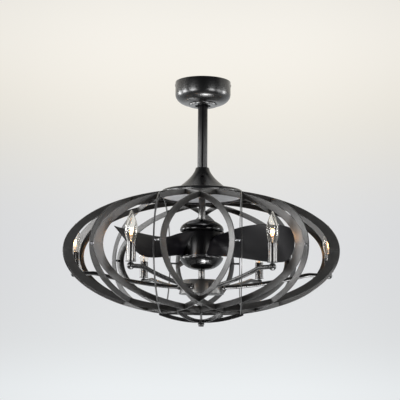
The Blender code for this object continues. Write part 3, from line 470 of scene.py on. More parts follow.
def makeCanopy():
    c = canopy
    radius, wall, mouth, straight = c["radius"], c["wall"], c["mouth"], c["straight"]
    outer = [(radius, -c["topGap"]), (radius, -straight)]
    inner = [(radius - wall, -c["topGap"]), (radius - wall, -straight)]
    flat = radius - mouth - c["lip"]
    corner = c["depth"] - straight
    for i in range(1, c["curveSteps"] + 1):
        angle = math.pi / 2 * i / c["curveSteps"]
        fall, turnIn = math.sin(angle), 1 - math.cos(angle)
        outer.append((radius - flat * turnIn, -straight - corner * fall))
        inner.append((radius - wall - (flat - wall) * turnIn, -straight - (corner - wall) * fall))
    low = -c["depth"] - c["lip"]
    # the rolled rim carries a narrow flat trim that leaves room for the rod's sway
    lip = [(mouth + 2 * wall, -c["depth"] - wall / 2), (mouth + 2 * wall, low), (c["trim"], low),
           (c["trim"], low + wall), (mouth, low + wall), (mouth, -c["depth"] + wall)]
    shell = turnPiece("canopyShell", closedRings(outer + lip, inner), sides["large"])
    addBevel(shell, c["edge"], c["edgeAngle"])
    complete(shell, "ceiling_mount", "canopyBlack", "canopy")
    thick, wide = c["screwThick"], c["screwHead"]
    slot = (wide * c["slotReachShare"], c["slotWidth"])
    for side, word in ((-1, "left"), (1, "right")):
        head = turnPiece(f"canopyScrew_{word}", [
            (0, thick), (wide * 0.55, thick), (wide * 0.9, thick * 0.6), (wide, thick * 0.25), (wide, 0),
            (c["shank"], 0), (c["shank"], -c["shankLength"]), (0, -c["shankLength"])], sides["small"])
        # the two slots cross, so each one is cut by itself
        for size in (slot, slot[::-1]):
            cutWith(head, [addBox("slot", (*size, c["slotDepth"]), (0, 0, thick))])
        head.rotation_euler = (0, side * math.pi / 2, 0)
        head.location = (side * radius, 0, -c["screwDepth"])
        complete(head, "ceiling_mount", "glossBlack", f"canopy_screw_{word}")


makeCanopy()
print("canopy made")

# downrod, bell cover and motor shaft
downrod = {"radius": 0.0134, "bore": 0.0105, "top": -0.017, "bottom": 0.1905, "edge": 0.0004}
bell = {"top": 0.234, "mouth": 0.076, "wall": 0.0012, "innerWallShare": 1.5, "bore": 0.0137, "neck": 0.0185,
        "flare": 1.61, "steps": 26, "foot": 0.1716, "edge": 0.0008,
        "setScrewLevel": 0.2046, "setScrewRadius": 0.0040, "setScrewReach": 0.03, "setScrewPlace": -0.045}
shaft = {"radius": 0.0095, "bore": 0.0062, "top": 0.1899, "bottom": -0.0435, "edge": 0.0004}


def makeRods():
    d, s = downrod, shaft
    pipe = makePipe("downrodPipe", d["radius"], d["bore"], d["top"], level(d["bottom"]), sides["pipe"],
                    d["edge"])
    complete(pipe, "fixture", "rodBlack", "downrod")
    tube = makePipe("motorShaftTube", s["radius"], s["bore"], level(s["top"]), level(s["bottom"]),
                    sides["tube"], s["edge"])
    complete(tube, "fixture", "gunmetal", "motor_shaft")


def makeBell():
    b = bell
    outer, inner = [], []
    drop = b["top"] - b["foot"]
    for i in range(1, b["steps"] + 1):
        share = i / b["steps"]
        radius = b["neck"] + (b["mouth"] - b["neck"]) * share ** b["flare"]
        height = b["top"] - drop * share
        outer.append((radius, height))
        inner.append((max(radius - b["wall"] * b["innerWallShare"], b["bore"]), height))
    top = [(b["bore"], b["top"]), (b["neck"] - b["edge"], b["top"]), (b["neck"], b["top"] - b["edge"])]
    inner.insert(0, (b["bore"], b["top"] - 2 * b["wall"]))
    cover = turnAtFan("bellCover", closedRings(top + outer, inner), sides["bell"])
    cutWith(cover, [addRod(b["setScrewRadius"], b["setScrewReach"],
                           (0, b["setScrewPlace"], level(b["setScrewLevel"])), (math.pi / 2, 0, 0))])
    complete(cover, "fixture", "satinBlack", "coupling_cover")


makeRods()
makeBell()
print("rods and bell made")

# cage
hoop = {
    "count": 12, "offset": 0.1055, "radius": 0.375, "rise": 0.1617, "drop": 0.1643,
    "widthSide": 0.025, "widthPole": 0.0139, "sheet": 0.0022, "turn": -1.6, "steps": 160,
    "edge": 0.00035, "edgeAngle": 60, "clearance": 0.0003, "notchReach": 0.02,
    "grooveHeight": 0.0024, "grooveDepth": 0.00105, "grooveReach": 0.04, "grooveInset": 0.012,
    "linkHeight": 0.005, "linkInset": 0.004, "linkDepth": 0.007, "linkEdge": 0.0009,
    "screwRadius": 0.0032, "screwThick": 0.0018, "screwRoot": 0.001, "screwSpread": 0.28,
}


def halfLength():
    return math.sqrt(hoop["radius"] ** 2 - hoop["offset"] ** 2)


def hoopEdge(along, side, inner):
    reach = halfLength() - (hoop["widthSide"] if inner else 0)
    height = (hoop["rise"] if side > 0 else hoop["drop"]) - (hoop["widthPole"] if inner else 0)
    return side * height * math.sqrt(max(0.0, 1 - (along / reach) ** 2))


def makeHoopShape():
    # an oval ring, drawn flat facing X and thickened
    h = hoop
    long = halfLength()
    # the inner edge starts at half height, which keeps the two edges apart until each gets its real one
    innerRise, onOuterEdge = 0.5, 0.999
    ring = primitive(bpy.ops.mesh.primitive_circle_add, vertices=h["steps"], radius=1,
                     rotation=(0, math.pi / 2, 0))
    settle(ring)
    editWhole(ring)
    bpy.ops.transform.resize(value=(1, long, 1), center_override=(0, 0, 0))
    bpy.ops.mesh.extrude_region_move(TRANSFORM_OT_translate={"value": (0, 0, 0)})
    bpy.ops.transform.resize(value=(1, (long - h["widthSide"]) / long, innerRise), center_override=(0, 0, 0))
    bpy.ops.object.mode_set(mode="OBJECT")
    # outer and inner edge each take their own height above and below
    for vertex in ring.data.vertices:
        up = vertex.co.z > 0
        outerEdge = (vertex.co.y / long) ** 2 + vertex.co.z ** 2 > onOuterEdge
        height = h["rise"] if up else h["drop"]
        vertex.co.z *= height if outerEdge else (height - h["widthPole"]) / innerRise
        vertex.co.x = h["offset"]
    sealMesh(ring)
    addSheet(ring, h["sheet"])
    addBevel(ring, h["edge"], h["edgeAngle"])
    settle(ring)
    return ring


def makeCutters():
    # notches where other hoops cross this one, and the fine line at both ends of the oval
    h = hoop
    cutters = []
    reach = h["notchReach"]
    for k in range(1, h["count"] // 2):
        angle = 2 * math.pi / h["count"] * k
        along = h["offset"] * math.tan(angle / 2)
        if along > halfLength() - h["widthSide"]:
            continue
        half = h["sheet"] / 2 * (1 + abs(math.cos(angle))) / math.sin(angle) + h["clearance"]
        for place, outward in ((along, 1), (-along, -1)):
            for side in (1, -1):
                middle = (abs(hoopEdge(place, side, False)) + abs(hoopEdge(place, side, True))) / 2
                cutters.append(addBox("notch", (reach, 2 * half, reach),
                                      (h["offset"], place, side * (middle + outward * reach / 2))))
    for end in (-1, 1):
        for face in (-1, 1):
            place = (h["offset"] + face * h["sheet"] / 2, end * (halfLength() - h["grooveInset"]), 0)
            size = (2 * h["grooveDepth"], h["grooveReach"], h["grooveHeight"])
            cutters.append(addBox("groove", size, place))
    return cutters


def makeLink():
    # lug between two hoops at the equator, with its two little screws facing out
    h = hoop
    turn = 2 * math.pi / h["count"] * (h["count"] // 2 - 1)
    corners = []
    for inset in (h["linkInset"], h["linkInset"] + h["linkDepth"]):
        along = math.sqrt((h["radius"] - inset) ** 2 - h["offset"] ** 2)
        x, y = h["offset"] - h["sheet"] / 2 - h["clearance"], -along
        corners.append(((h["offset"], along), (x * math.cos(turn) - y * math.sin(turn),
                                               x * math.sin(turn) + y * math.cos(turn))))
    middle = [sum(c[i][axis] for c in corners for i in (0, 1)) / 4 for axis in (0, 1)]
    across = (corners[0][1][0] - corners[0][0][0], corners[0][1][1] - corners[0][0][1])
    length = math.hypot(*across)
    bar = addBox("hoopLink", (length, h["linkDepth"], h["linkHeight"]), (0, 0, 0), bevel=h["linkEdge"])
    parts = [bar]
    wide, thick = h["screwRadius"], h["screwThick"]
    for side in (-1, 1):
        nub = turnPiece("hoopLinkScrew", [(0, thick), (wide * 0.7, thick * 0.9), (wide, thick * 0.4),
                                          (wide, -h["screwRoot"]), (0, -h["screwRoot"])], sides["nub"])
        nub.rotation_euler = (math.pi / 2, 0, 0)
        nub.location = (side * length * h["screwSpread"], -h["linkDepth"] / 2, 0)
        nub.data.materials.append(finish["hoopBlack"])
        nub.data.materials.append(finish["screwSteel"])
        for face in nub.data.polygons:
            face.material_index = 1
        settle(nub)
        parts.append(nub)
    bar.data.materials.append(finish["hoopBlack"])
    link = joinPieces(parts, "hoopLink")
    link.rotation_euler.z = math.atan2(middle[1], middle[0]) + math.pi / 2
    link.location = (*middle, 0)
    settle(link)
    return link


def makeCage():
    ring = makeHoopShape()
    cutWith(ring, makeCutters())
    ring.data.materials.append(finish["hoopBlack"])
    ring = joinPieces([ring, makeLink()], "hoopShape")
    ring.location.z = general["equator"]
    settle(ring)
    smooth(ring, degrees=50)
    flatten(ring)
    for k in range(hoop["count"]):
        strip = turnedCopy(ring, f"hoopStrip_{k + 1:02d}", around(k, hoop["count"], hoop["turn"]))
        dress(strip, "fixture", None, f"cage_hoop_{k + 1:02d}")
    discard(ring)


makeCage()
print("cage hoops made")

plate = {
    "radius": 0.1117, "sheet": 0.0018, "rimBottom": 0.1515, "top": 0.1713, "shoulder": 0.0075,
    "shoulderSteps": 8, "bore": 0.0098, "slotHalfAngle": 6.6, "slotReach": 0.008, "slotOver": 0.006,
    "coverRadius": 0.1041, "coverSheet": 0.0016, "collar": 0.0145, "collarHeight": 0.008, "edge": 0.0004,
}


def makePlate():
    p = plate
    low, top, sheet, bore = p["rimBottom"], p["top"], p["sheet"], p["bore"]
    outer, inner = [(bore, top)], []
    centre, rise = p["radius"] - p["shoulder"], top - p["shoulder"]
    small = p["shoulder"] - sheet
    for i in range(p["shoulderSteps"] + 1):
        angle = math.pi / 2 * (1 - i / p["shoulderSteps"])
        outer.append((centre + p["shoulder"] * math.cos(angle), rise + p["shoulder"] * math.sin(angle)))
        inner.append((centre + small * math.cos(angle), rise + small * math.sin(angle)))
    outer.append((p["radius"], low))
    inner.append((p["radius"] - sheet, low))
    inner.insert(0, (bore, top - sheet))
    pan = turnAtFan("cagePlate", closedRings(outer, inner), sides["plate"])
    seat = hoopEdge(math.sqrt(p["radius"] ** 2 - hoop["offset"] ** 2), 1, False) + hoop["clearance"]
    width = 2 * p["radius"] * math.tan(math.radians(p["slotHalfAngle"]))
    over = p["slotOver"]
    cutters = [addBox("slot", (p["slotReach"], width, seat - low + over),
                      (p["radius"] - sheet / 2, 0, level((seat + low - over) / 2)),
                       turn=around(k + 0.5, hoop["count"], hoop["turn"]))
               for k in range(hoop["count"])]
    cutWith(pan, cutters)
    complete(pan, "fixture", "satinBlack", "cage_top_plate", degrees=32)
    wide, collar, high = p["coverRadius"], p["collar"], low + p["collarHeight"]
    cover = turnAtFan("plateCover", [
        (wide, low), (wide, low + p["coverSheet"]), (collar, low + p["coverSheet"]), (collar, high),
        (bore, high), (bore, low), (wide, low)], sides["plate"], bevel=p["edge"])
    complete(cover, "fixture", "plateZinc", "cage_plate_cover", degrees=50, flat=True)


makePlate()
print("cage plate made")

# bottom bracket and finial
bottom = {
    "arms": 6, "reach": 0.1135, "sheet": 0.0026, "lip": 0.004, "sag": 0.0236, "band": 0.0094, "boss": 0.009,
    "rootShare": 0.6, "end": 0.0032, "shoulder": 0.101, "steps": 22, "bore": 0.0035, "edge": 0.0003,
    "edgeAngle": 60, "slotAcross": 0.01, "slotTall": 0.02, "bossOver": 0.0003, "bossEdge": 0.0006,
}
finial = {"radius": 0.0086, "height": 0.0094, "bore": 0.0035, "gap": 0.0006,
          # share of the radius, share of the height from the top
          "shares": [(0.94, 0), (1, 0.12), (1, 0.52), (0.88, 0.58), (0.88, 0.86), (0.72, 1)]}


def makeBottomArm():
    # the arm's outline is drawn in the XZ plane from a grid whose two long edges follow its curves
    b = bottom
    base, tip = -hoop["drop"] - b["sag"], -hoop["drop"] - hoop["clearance"]
    seat = -hoop["drop"] + b["lip"]
    root = b["boss"] * b["rootShare"]

    def place(share, upper):
        along = root + (b["reach"] - root) * share
        shoulderShare = min(1.0, (along - root) / (b["shoulder"] - root))
        if upper > 0.5:
            return (along, 0, base + b["band"] + (seat - base - b["band"]) * shoulderShare ** 2)
        return (along, 0, base + (tip - b["end"] - base) * share ** 2)

    arm = gridPiece(b["steps"], 1, place)
    addSheet(arm, b["sheet"])
    slot = hoop["sheet"] + 2 * hoop["clearance"]
    cutWith(arm, [addBox("slot", (slot, b["slotAcross"], b["slotTall"]),
                         (hoop["offset"], 0, tip + b["slotTall"] / 2))])
    addBevel(arm, b["edge"], b["edgeAngle"])
    settle(arm)
    return arm


def makeBottom():
    b, f = bottom, finial
    base = -hoop["drop"] - b["sag"]
    boss = makePipe("bottomBoss", b["boss"], b["bore"], base + b["band"] + b["bossOver"],
                    base - b["bossOver"], sides["tube"], b["bossEdge"])
    settle(boss)
    arm = makeBottomArm()
    arms = [turnedCopy(arm, "bottomArm", around(k, b["arms"], hoop["turn"])) for k in range(b["arms"])]
    discard(arm)
    bracket = joinPieces([boss] + arms, "bottomBracket")
    bracket.location.z = general["equator"]
    complete(bracket, "fixture", "satinBlack", "cage_bottom_bracket", degrees=50, flat=True)
    top = base - f["gap"]
    rings = scaledRings(f["shares"], f["radius"], -f["height"], top)
    nut = turnAtFan("finialNut", [(f["bore"], top)] + rings + [(0, top - f["height"])], sides["tube"])
    complete(nut, "fixture", "glossBlack", "finial")


makeBottom()
print("bottom bracket and finial made")

# motor
motor = {
    "domeRadius": 0.0598, "domeTop": 0.0925, "domeFold": 0.0677, "domeRim": 0.0590, "domeCurve": 1.6,
    # the dome's rolled rim: share of the wall beyond the fold, share of the rim's height
    "rimShares": [(0.62, 0.76), (1, 0.5), (0.55, 0.2), (0, 0), (-1, 0)],
    "wall": 0.0015, "neck": 0.0098, "curveSteps": 16,
    "hubRadius": 0.054, "hubWall": 0.004, "hubTop": 0.0583, "hubBottom": -0.0118, "endPlate": 0.005,
    "endEdge": 0.0006, "hubGap": 0.0003, "bearingBore": 0.018,
    "bowlRadius": 0.0585, "bowlRim": 0.003, "bowlBottom": -0.0458, "bowlGap": 0.0005, "bowlEdge": 0.0006,
    "bowlFoot": 0.0088, "bowlBore": 0.0062, "bowlCurve": 1.95, "bowlLean": 0.17,
    "screwCount": 12, "screwRadius": 0.0021,
    # share of the screw's radius, height
    "screwRings": [(0, 0.0012), (0.7, 0.0010), (1, 0.0004), (1, -0.0008), (0, -0.0008)],
}


def curvedRadius(narrow, wide, share, curve):
    return narrow + (wide - narrow) * (1 - share ** curve) ** (1 / curve)


def makeDome():
    m = motor
    wall, curve, neck = m["wall"], m["domeCurve"], m["neck"]
    rise, fold = m["domeTop"] - m["domeFold"], m["domeRadius"] - wall
    outer, inner = [], []
    for i in range(m["curveSteps"] + 1):
        share = math.sin(math.pi / 2 * (1 - i / m["curveSteps"]))
        outer.append((curvedRadius(neck, fold, share, curve), m["domeFold"] + rise * share))
        inner.append((curvedRadius(neck, fold - wall, share, curve), m["domeFold"] + (rise - wall) * share))
    band = m["domeFold"] - m["domeRim"]
    rim = [(fold + wall * beyond, m["domeRim"] + band * high) for beyond, high in m["rimShares"]]
    dome = turnAtFan("motorDome", closedRings(outer + rim, inner), sides["large"])
    complete(dome, "fixture", "glossBlack", "motor_top_cover", degrees=30)


def makeBowl():
    m = motor
    wide, wall, curve, foot = m["bowlRadius"], m["wall"], m["bowlCurve"], m["bowlFoot"]
    top = m["hubBottom"] - m["bowlGap"]
    shoulder = top - m["bowlRim"]
    fall = shoulder - m["bowlBottom"]
    outer = [(wide - m["bowlGap"], top), (wide, top - m["bowlEdge"])]
    inner = [(wide - wall, top)]
    for i in range(m["curveSteps"] + 1):
        share = math.sin(math.pi / 2 * i / m["curveSteps"])
        lean = m["bowlLean"] * share * (wide - foot) * (1 - share)
        outer.append((curvedRadius(foot, wide, share, curve) - lean, shoulder - fall * share))
        inner.append((curvedRadius(foot, wide - wall, share, curve) - lean, shoulder - (fall - wall) * share))
    outer.append((m["bowlBore"], m["bowlBottom"]))
    inner.append((m["bowlBore"], m["bowlBottom"] + wall))
    bowl = turnAtFan("motorBowl", closedRings(outer, inner), sides["large"])
    complete(bowl, "fixture", "bowlBlack", "motor_bottom_cover")


def makeRotor():
    m = motor
    wide, wall, bore, top = m["hubRadius"], m["hubWall"], m["bearingBore"], m["hubTop"]
    seam = m["hubBottom"] + m["endPlate"]
    low = seam + m["hubGap"]
    casing = turnAtFan("rotorCasing", [
        (wide - wall * 0.8, top), (wide - wall * 0.3, top - wall * 0.22), (wide, top - wall * 0.8),
        (wide, low), (wide - wall, low), (wide - wall, top - 2 * wall), (bore, top - 2 * wall), (bore, top),
        (wide - wall * 0.8, top)], sides["large"])
    complete(casing, "rotor", "hubBlack", "rotor_hub")
    disc = makePipe("rotorEndPlate", wide, bore, level(seam), level(m["hubBottom"]), sides["large"],
                    m["endEdge"])
    complete(disc, "rotor", "satinBlack", "rotor_end_plate")
    heads = []
    for k in range(m["screwCount"]):
        head = turnPiece("hubScrew", scaledRings(m["screwRings"], m["screwRadius"], 1), sides["rivet"])
        head.rotation_euler = (0, math.pi / 2, 0)
        head.location = (wide, 0, level(m["hubBottom"] + m["endPlate"] / 2))
        settle(head)
        head.rotation_euler.z = around(k + 0.5, m["screwCount"])
        settle(head)
        heads.append(head)
    complete(joinPieces(heads, "hubScrews"), "rotor", "screwSteel", slot="rotor_end_plate")


makeDome()
makeBowl()
makeRotor()
print("motor made")

# blades
blade = {
    "count": 3, "turn": 85, "reach": 0.265, "rise": 0.0587, "thick": 0.0034, "edge": 0.0016, "camber": 0.004,
    "rows": 8, "endRows": 4, "bowShare": 0.7, "smoothing": 2,
    # share of the reach; angle and rise of the leading edge and of the trailing edge; thickness;
    # root flare at the two edges, and how far the faces part at the leading edge
    "stations": [
        (0.1920, 15.5, 0.800, -24.5, -0.180, 1.0, 34.5, 19.5, 0.153),
        (0.2038, 15.5, 0.800, -24.5, -0.180, 1.0, 34.5, 19.5, 0.153),
        (0.2151, 7.5, 0.802, -14.5, -0.181, 1.0, 27.0, 15.5, 0.143),
        (0.2264, -0.5, 0.804, -5.0, -0.182, 1.0, 20.5, 12.0, 0.133),
        (0.2566, -12.0, 0.784, 9.0, -0.185, 1.0, 11.0, 7.0, 0.102),
        (0.2943, -20.0, 0.758, 18.0, -0.192, 1.0, 5.0, 4.0, 0.060),
        (0.3396, -24.3, 0.719, 24.5, -0.205, 1.0, 1.4, 1.0, 0.020),
        (0.430, -25, 0.735, 25, -0.250, 1.0, 0, 0, 0),
        (0.560, -24, 0.835, 25, -0.345, 1.0, 0, 0, 0),
        (0.635, -22, 0.900, 25, -0.395, 1.0, 0, 0, 0),
        (0.710, -19, 0.970, 25, -0.435, 1.0, 0, 0, 0),
        (0.800, -14, 1.035, 25, -0.450, 1.0, 0, 0, 0),
        (0.865, -9, 1.045, 24, -0.430, 1.0, 0, 0, 0),
        (0.925, -3, 1.035, 21.5, -0.200, 0.9, 0, 0, 0),
        (0.975, 2, 1.015, 17, 0.220, 0.8, 0, 0, 0),
        (0.998, 6, 0.960, 12, 0.640, 0.7, 0, 0, 0),
    ],
}


def bladePoint(station, t, side):
    # side -1 is the front face, 1 the back one; they part towards the root and wrap round the hub
    share, leadAngle, leadRise, trailAngle, trailRise, thick, leadFlare, trailFlare, parting = station
    radius = blade["reach"] * share
    lead, trail = leadAngle + side * leadFlare, trailAngle + side * trailFlare
    turn = math.radians(lead + (trail - lead) * t)
    high = blade["rise"] * (leadRise + side * parting)
    height = high + (blade["rise"] * trailRise - high) * t + blade["camber"] * math.sin(math.pi * t)
    return Vector((radius * math.cos(turn), radius * math.sin(turn), height))


def bladeRows(side):
    b = blade
    last = len(b["stations"]) - 1
    flat = [[bladePoint(station, i / b["rows"], side) for i in range(b["rows"] + 1)]
            for station in b["stations"]]
    rows = []
    for k, station in enumerate(b["stations"]):
        row = []
        for i in range(b["rows"] + 1):
            along = flat[min(k + 1, last)][i] - flat[max(k - 1, 0)][i]
            down = flat[k][min(i + 1, b["rows"])] - flat[k][max(i - 1, 0)]
            bow = max(0.0, math.sin(math.pi * i / b["rows"]))
            half = (b["edge"] + (b["thick"] * station[5] - b["edge"]) * bow ** b["bowShare"]) / 2
            row.append(flat[k][i] + along.cross(down).normalized() * half * side)
        rows.append(row)
    return rows


def edgeRow(first, last):
    # rounds a blade edge from one face to the other, at their distance from the axis
    found = []
    for i in range(1, blade["endRows"]):
        share = i / blade["endRows"]
        middle = first.lerp(last, share)
        radius = first.xy.length + (last.xy.length - first.xy.length) * share
        middle.xy *= radius / middle.xy.length
        found.append(middle)
    return found


def makeBladeShape():
    # a grid whose rows run round each station's section, closed at the seam and at both ends
    loops = []
    for front, back in zip(bladeRows(-1), bladeRows(1)):
        far, near = edgeRow(front[-1], back[-1]), edgeRow(back[0], front[0])
        loops.append(front + far + back[::-1] + near + front[:1])
    across, along = len(loops) - 1, len(loops[0]) - 1
    shape = gridPiece(across, along, lambda out, turn: loops[round(out * across)][round(turn * along)])
    sealMesh(shape, general["weld"], fillHoles=True)
    rounding = shape.modifiers.new("rounding", "SUBSURF")
    rounding.levels = rounding.render_levels = blade["smoothing"]
    settle(shape)
    return shape


def makeBlades():
    shape = makeBladeShape()
    shape.location.z = general["equator"]
    settle(shape)
    smooth(shape, degrees=60)
    for k in range(blade["count"]):
        moulding = turnedCopy(shape, f"bladeMoulding_{k + 1}", around(k, blade["count"], blade["turn"]))
        dress(moulding, "rotor", "bladeBlack", f"blade_{k + 1}")
    discard(shape)


makeBlades()
print("blades made")

# light kit
lightHub = {
    "top": -0.0728, "bottom": -0.1118, "topRadius": 0.0505, "bottomRadius": 0.0606, "wall": 0.0022,
    "bore": 0.0062, "portRadius": 0.0058, "portReach": 0.03, "portPlace": 0.062,
    "tubeRadius": 0.0088, "tubeTop": -0.0461, "tubeGap": 0.0003, "tubeEdge": 0.0004,
}
lightArm = {
    "count": 6, "circle": 0.344, "radius": 0.0056, "level": -0.0920, "root": 0.0515, "knee": 0.290,
    "kneeLevel": -0.0570, "kneeShare": 0.1, "steps": 7, "curve": 1.5,
    "ballRadius": 0.0093, "ballLevel": -0.0585, "ballSides": 32, "ballRings": 18,
    "ferruleRadius": 0.0080, "ferruleLength": 0.006, "ferruleGap": 0.0003,
    # share of the ferrule's radius and of its length
    "ferruleRings": [(0, 1), (0.78, 1), (0.86, 0.86), (1, 0.6), (1, 0), (0, 0)],
}
candle = {
    "radius": 0.0118, "top": 0.0, "bottom": -0.0489, "socket": 0.0082, "socketDepth": 0.027, "flange": 0.0016,
    # inset and fall of the sleeve's upper edge; share of its radius and of the flange's height
    "sleeveEdge": [(0.0006, 0), (0.0001, 0.0003), (0, 0.0008)],
    "flangeRings": [(1, 2), (1.04, 1.85), (1.1, 1.4), (1.1, 0.6), (1.03, 0.2), (0.8, 0), (0, 0)],
    "bulbRadius": 0.0158, "bulbSeat": 0.0004, "bulbTip": 0.0785, "bulbSteps": 26, "glass": 0.0007,
    # share of the way from the glass's seat to its tip, share of its radius
    "flame": [(0.0, 0.62), (0.06, 0.72), (0.15, 0.86), (0.27, 0.97), (0.38, 1.0), (0.5, 0.955), (0.62, 0.82),
              (0.74, 0.61), (0.84, 0.40), (0.92, 0.235), (0.97, 0.135), (1.0, 0.05)],
    # screw cap: radius and height of its stem, then its thread; at the foot share of its radius and height
    "capRadius": 0.0064, "capTop": 0.0006, "capLength": 0.021,
    "stem": [(0, 0.013), (0.0016, 0.0125), (0.0019, 0.010), (0.0026, 0.003)],
    "threads": 6, "threadStart": 0.002, "threadLength": 0.014, "threadDepth": 0.0006, "threadFall": 0.0011,
    "foot": [(0.9, 0.004), (0.45, 0.0008), (0, 0.0004)],
    "filamentLow": 0.017, "filamentHigh": 0.034, "filamentRadius": 0.0022, "filamentFoot": 0.8,
    "wire": 0.00045, "wireRoundness": 2, "wireSteps": 6, "hairpins": 4,
    "lampPower": 0.22, "lampColour": (1.0, 0.50, 0.19), "lampRadius": 0.004,
}


def hubRadiusAt(height):
    share = (lightHub["top"] - height) / (lightHub["top"] - lightHub["bottom"])
    return lightHub["topRadius"] + (lightHub["bottomRadius"] - lightHub["topRadius"]) * share


def makeLightHub():
    l = lightHub
    wall, top, low, wide, foot = l["wall"], l["top"], l["bottom"], l["topRadius"], l["bottomRadius"]
    cup = turnAtFan("lightHubCup", [
        (l["bore"], top), (wide - wall, top), (wide - wall * 0.3, top - wall * 0.3), (wide, top - wall),
        (foot, low + wall), (foot - wall * 0.2, low + wall * 0.2), (foot - wall, low), (0, low)],
        sides["large"])
    ports = []
    for k in range(lightArm["count"]):
        port = addRod(l["portRadius"], l["portReach"], (l["portPlace"], 0, level(lightArm["level"])),
                      (0, math.pi / 2, 0))
        port.rotation_euler.z = around(k, lightArm["count"])
        settle(port)
        ports.append(port)
    inside = [(0, top - wall), (wide - wall, top - wall), (foot - wall, low + wall), (0, low + wall)]
    cutWith(cup, [turnAtFan("hubInside", inside, sides["large"])])
    cutWith(cup, ports)
    complete(cup, "fixture", "cupMetal", "light_kit_hub")
    tube = makePipe("lightKitTube", l["tubeRadius"], l["bore"], level(l["tubeTop"]),
                    level(top + l["tubeGap"]), sides["tube"], l["tubeEdge"])
    complete(tube, "fixture", "gunmetal", "light_kit_tube")


def makeArmShape():
    a = lightArm
    start = hubRadiusAt(a["level"]) + a["ferruleLength"]
    climb, dip = a["kneeLevel"] - a["level"], a["kneeLevel"] - a["ballLevel"]
    points = [(a["root"], 0, level(a["level"])), (start, 0, level(a["level"]))]
    for i in range(1, a["steps"] + 1):
        share = i / a["steps"]
        height = a["level"] + climb * share ** a["curve"]
        points.append((start + (a["knee"] - start) * share, 0, level(height)))
    points.append((a["knee"] + 2 * a["radius"], 0, level(a["kneeLevel"] - dip * a["kneeShare"])))
    points.append((a["circle"], 0, level(a["ballLevel"])))
    tube = tubeAlong("armTube", points, a["radius"])
    ball = primitive(bpy.ops.mesh.primitive_uv_sphere_add, segments=a["ballSides"], ring_count=a["ballRings"],
                     radius=a["ballRadius"], location=(a["circle"], 0, level(a["ballLevel"])))
    settle(ball)
    ferrule = turnPiece("ferrule", scaledRings(a["ferruleRings"], a["ferruleRadius"], a["ferruleLength"]),
                        sides["ferrule"])
    ferrule.rotation_euler = (0, math.pi / 2, 0)
    ferrule.location = (hubRadiusAt(a["level"] - a["ferruleRadius"]) + a["ferruleGap"], 0, level(a["level"]))
    settle(ferrule)
    arm = joinPieces([tube, ball, ferrule], "armShape")
    smooth(arm)
    return arm


def turnCandle(name, rings, segments, degrees=None):
    # the candles' parts are turned on the axis and moved out to the ring of lights
    piece = turnAtFan(name, rings, segments)
    piece.location.x = lightArm["circle"]
    settle(piece)
    smooth(piece, degrees)
    return piece


def makeSleeveShape():
    c = candle
    deep = c["top"] - c["socketDepth"]
    rings = [(0, deep), (c["socket"], deep), (c["socket"], c["top"])]
    rings += [(c["radius"] - inset, c["top"] - fall) for inset, fall in c["sleeveEdge"]]
    rings += scaledRings(c["flangeRings"], c["radius"], c["flange"], c["bottom"])
    return turnCandle("sleeveShape", rings, sides["tube"])


def flameRadius(share):
    for (lowShare, lowRadius), (highShare, highRadius) in zip(candle["flame"], candle["flame"][1:]):
        if share <= highShare:
            blend = (share - lowShare) / (highShare - lowShare)
            return lowRadius + (highRadius - lowRadius) * blend
    return candle["flame"][-1][1]


def makeGlassShape():
    c = candle
    seat = c["top"] + c["bulbSeat"]
    outer = []
    for i in range(c["bulbSteps"] + 1):
        share = 1 - i / c["bulbSteps"]
        outer.append((c["bulbRadius"] * flameRadius(share), seat + (c["bulbTip"] - seat) * share))
    outer[0] = (0, outer[0][1])
    inner = [(max(radius - c["glass"], 0), height - (c["glass"] * 2 if i < 2 else 0))
             for i, (radius, height) in enumerate(outer)]
    return turnCandle("glassShape", outer + inner[::-1], sides["tube"], degrees=60)


def makeCapShape():
    # screw cap and glass stem inside the socket and bulb
    c = candle
    wide, top = c["capRadius"], c["top"] + c["capTop"]
    low = c["top"] - c["capLength"]
    rings = scaledRings(c["stem"], 1, 1, top) + [(wide, top)]
    for i in range(c["threads"]):
        high = top - c["threadStart"] - c["threadLength"] * i / c["threads"]
        rings += [(wide, high), (wide - c["threadDepth"], high - c["threadFall"])]
    rings += scaledRings(c["foot"], wide, 1, low)
    return turnCandle("capShape", rings, sides["cap"], degrees=50)


def makeFilamentShape():
    # a fine wire that climbs and falls in hairpins round the stem
    c = candle
    points = []
    for i in range(c["hairpins"]):
        foot = around(i, c["hairpins"])
        tip = foot + math.pi / c["hairpins"]
        for angle, radius, height in ((foot, c["filamentRadius"] * c["filamentFoot"], c["filamentLow"]),
                                      (tip, c["filamentRadius"], c["filamentHigh"])):
            points.append((lightArm["circle"] + radius * math.cos(angle), radius * math.sin(angle),
                           level(height)))
    return tubeAlong("filamentShape", points, c["wire"], c["wireRoundness"], c["wireSteps"])


def addLamp(name, kind, place, power, use="both"):
    data = bpy.data.lights.new(name, kind)
    data.energy = power
    lamp = bpy.data.objects.new(name, data)
    lamp.visible_camera = lamp.visible_transmission = False
    lamp.visible_diffuse = use != "mirror"
    lamp.visible_glossy = use != "matte"
    bpy.context.scene.collection.objects.link(lamp)
    lamp.location = place
    return lamp


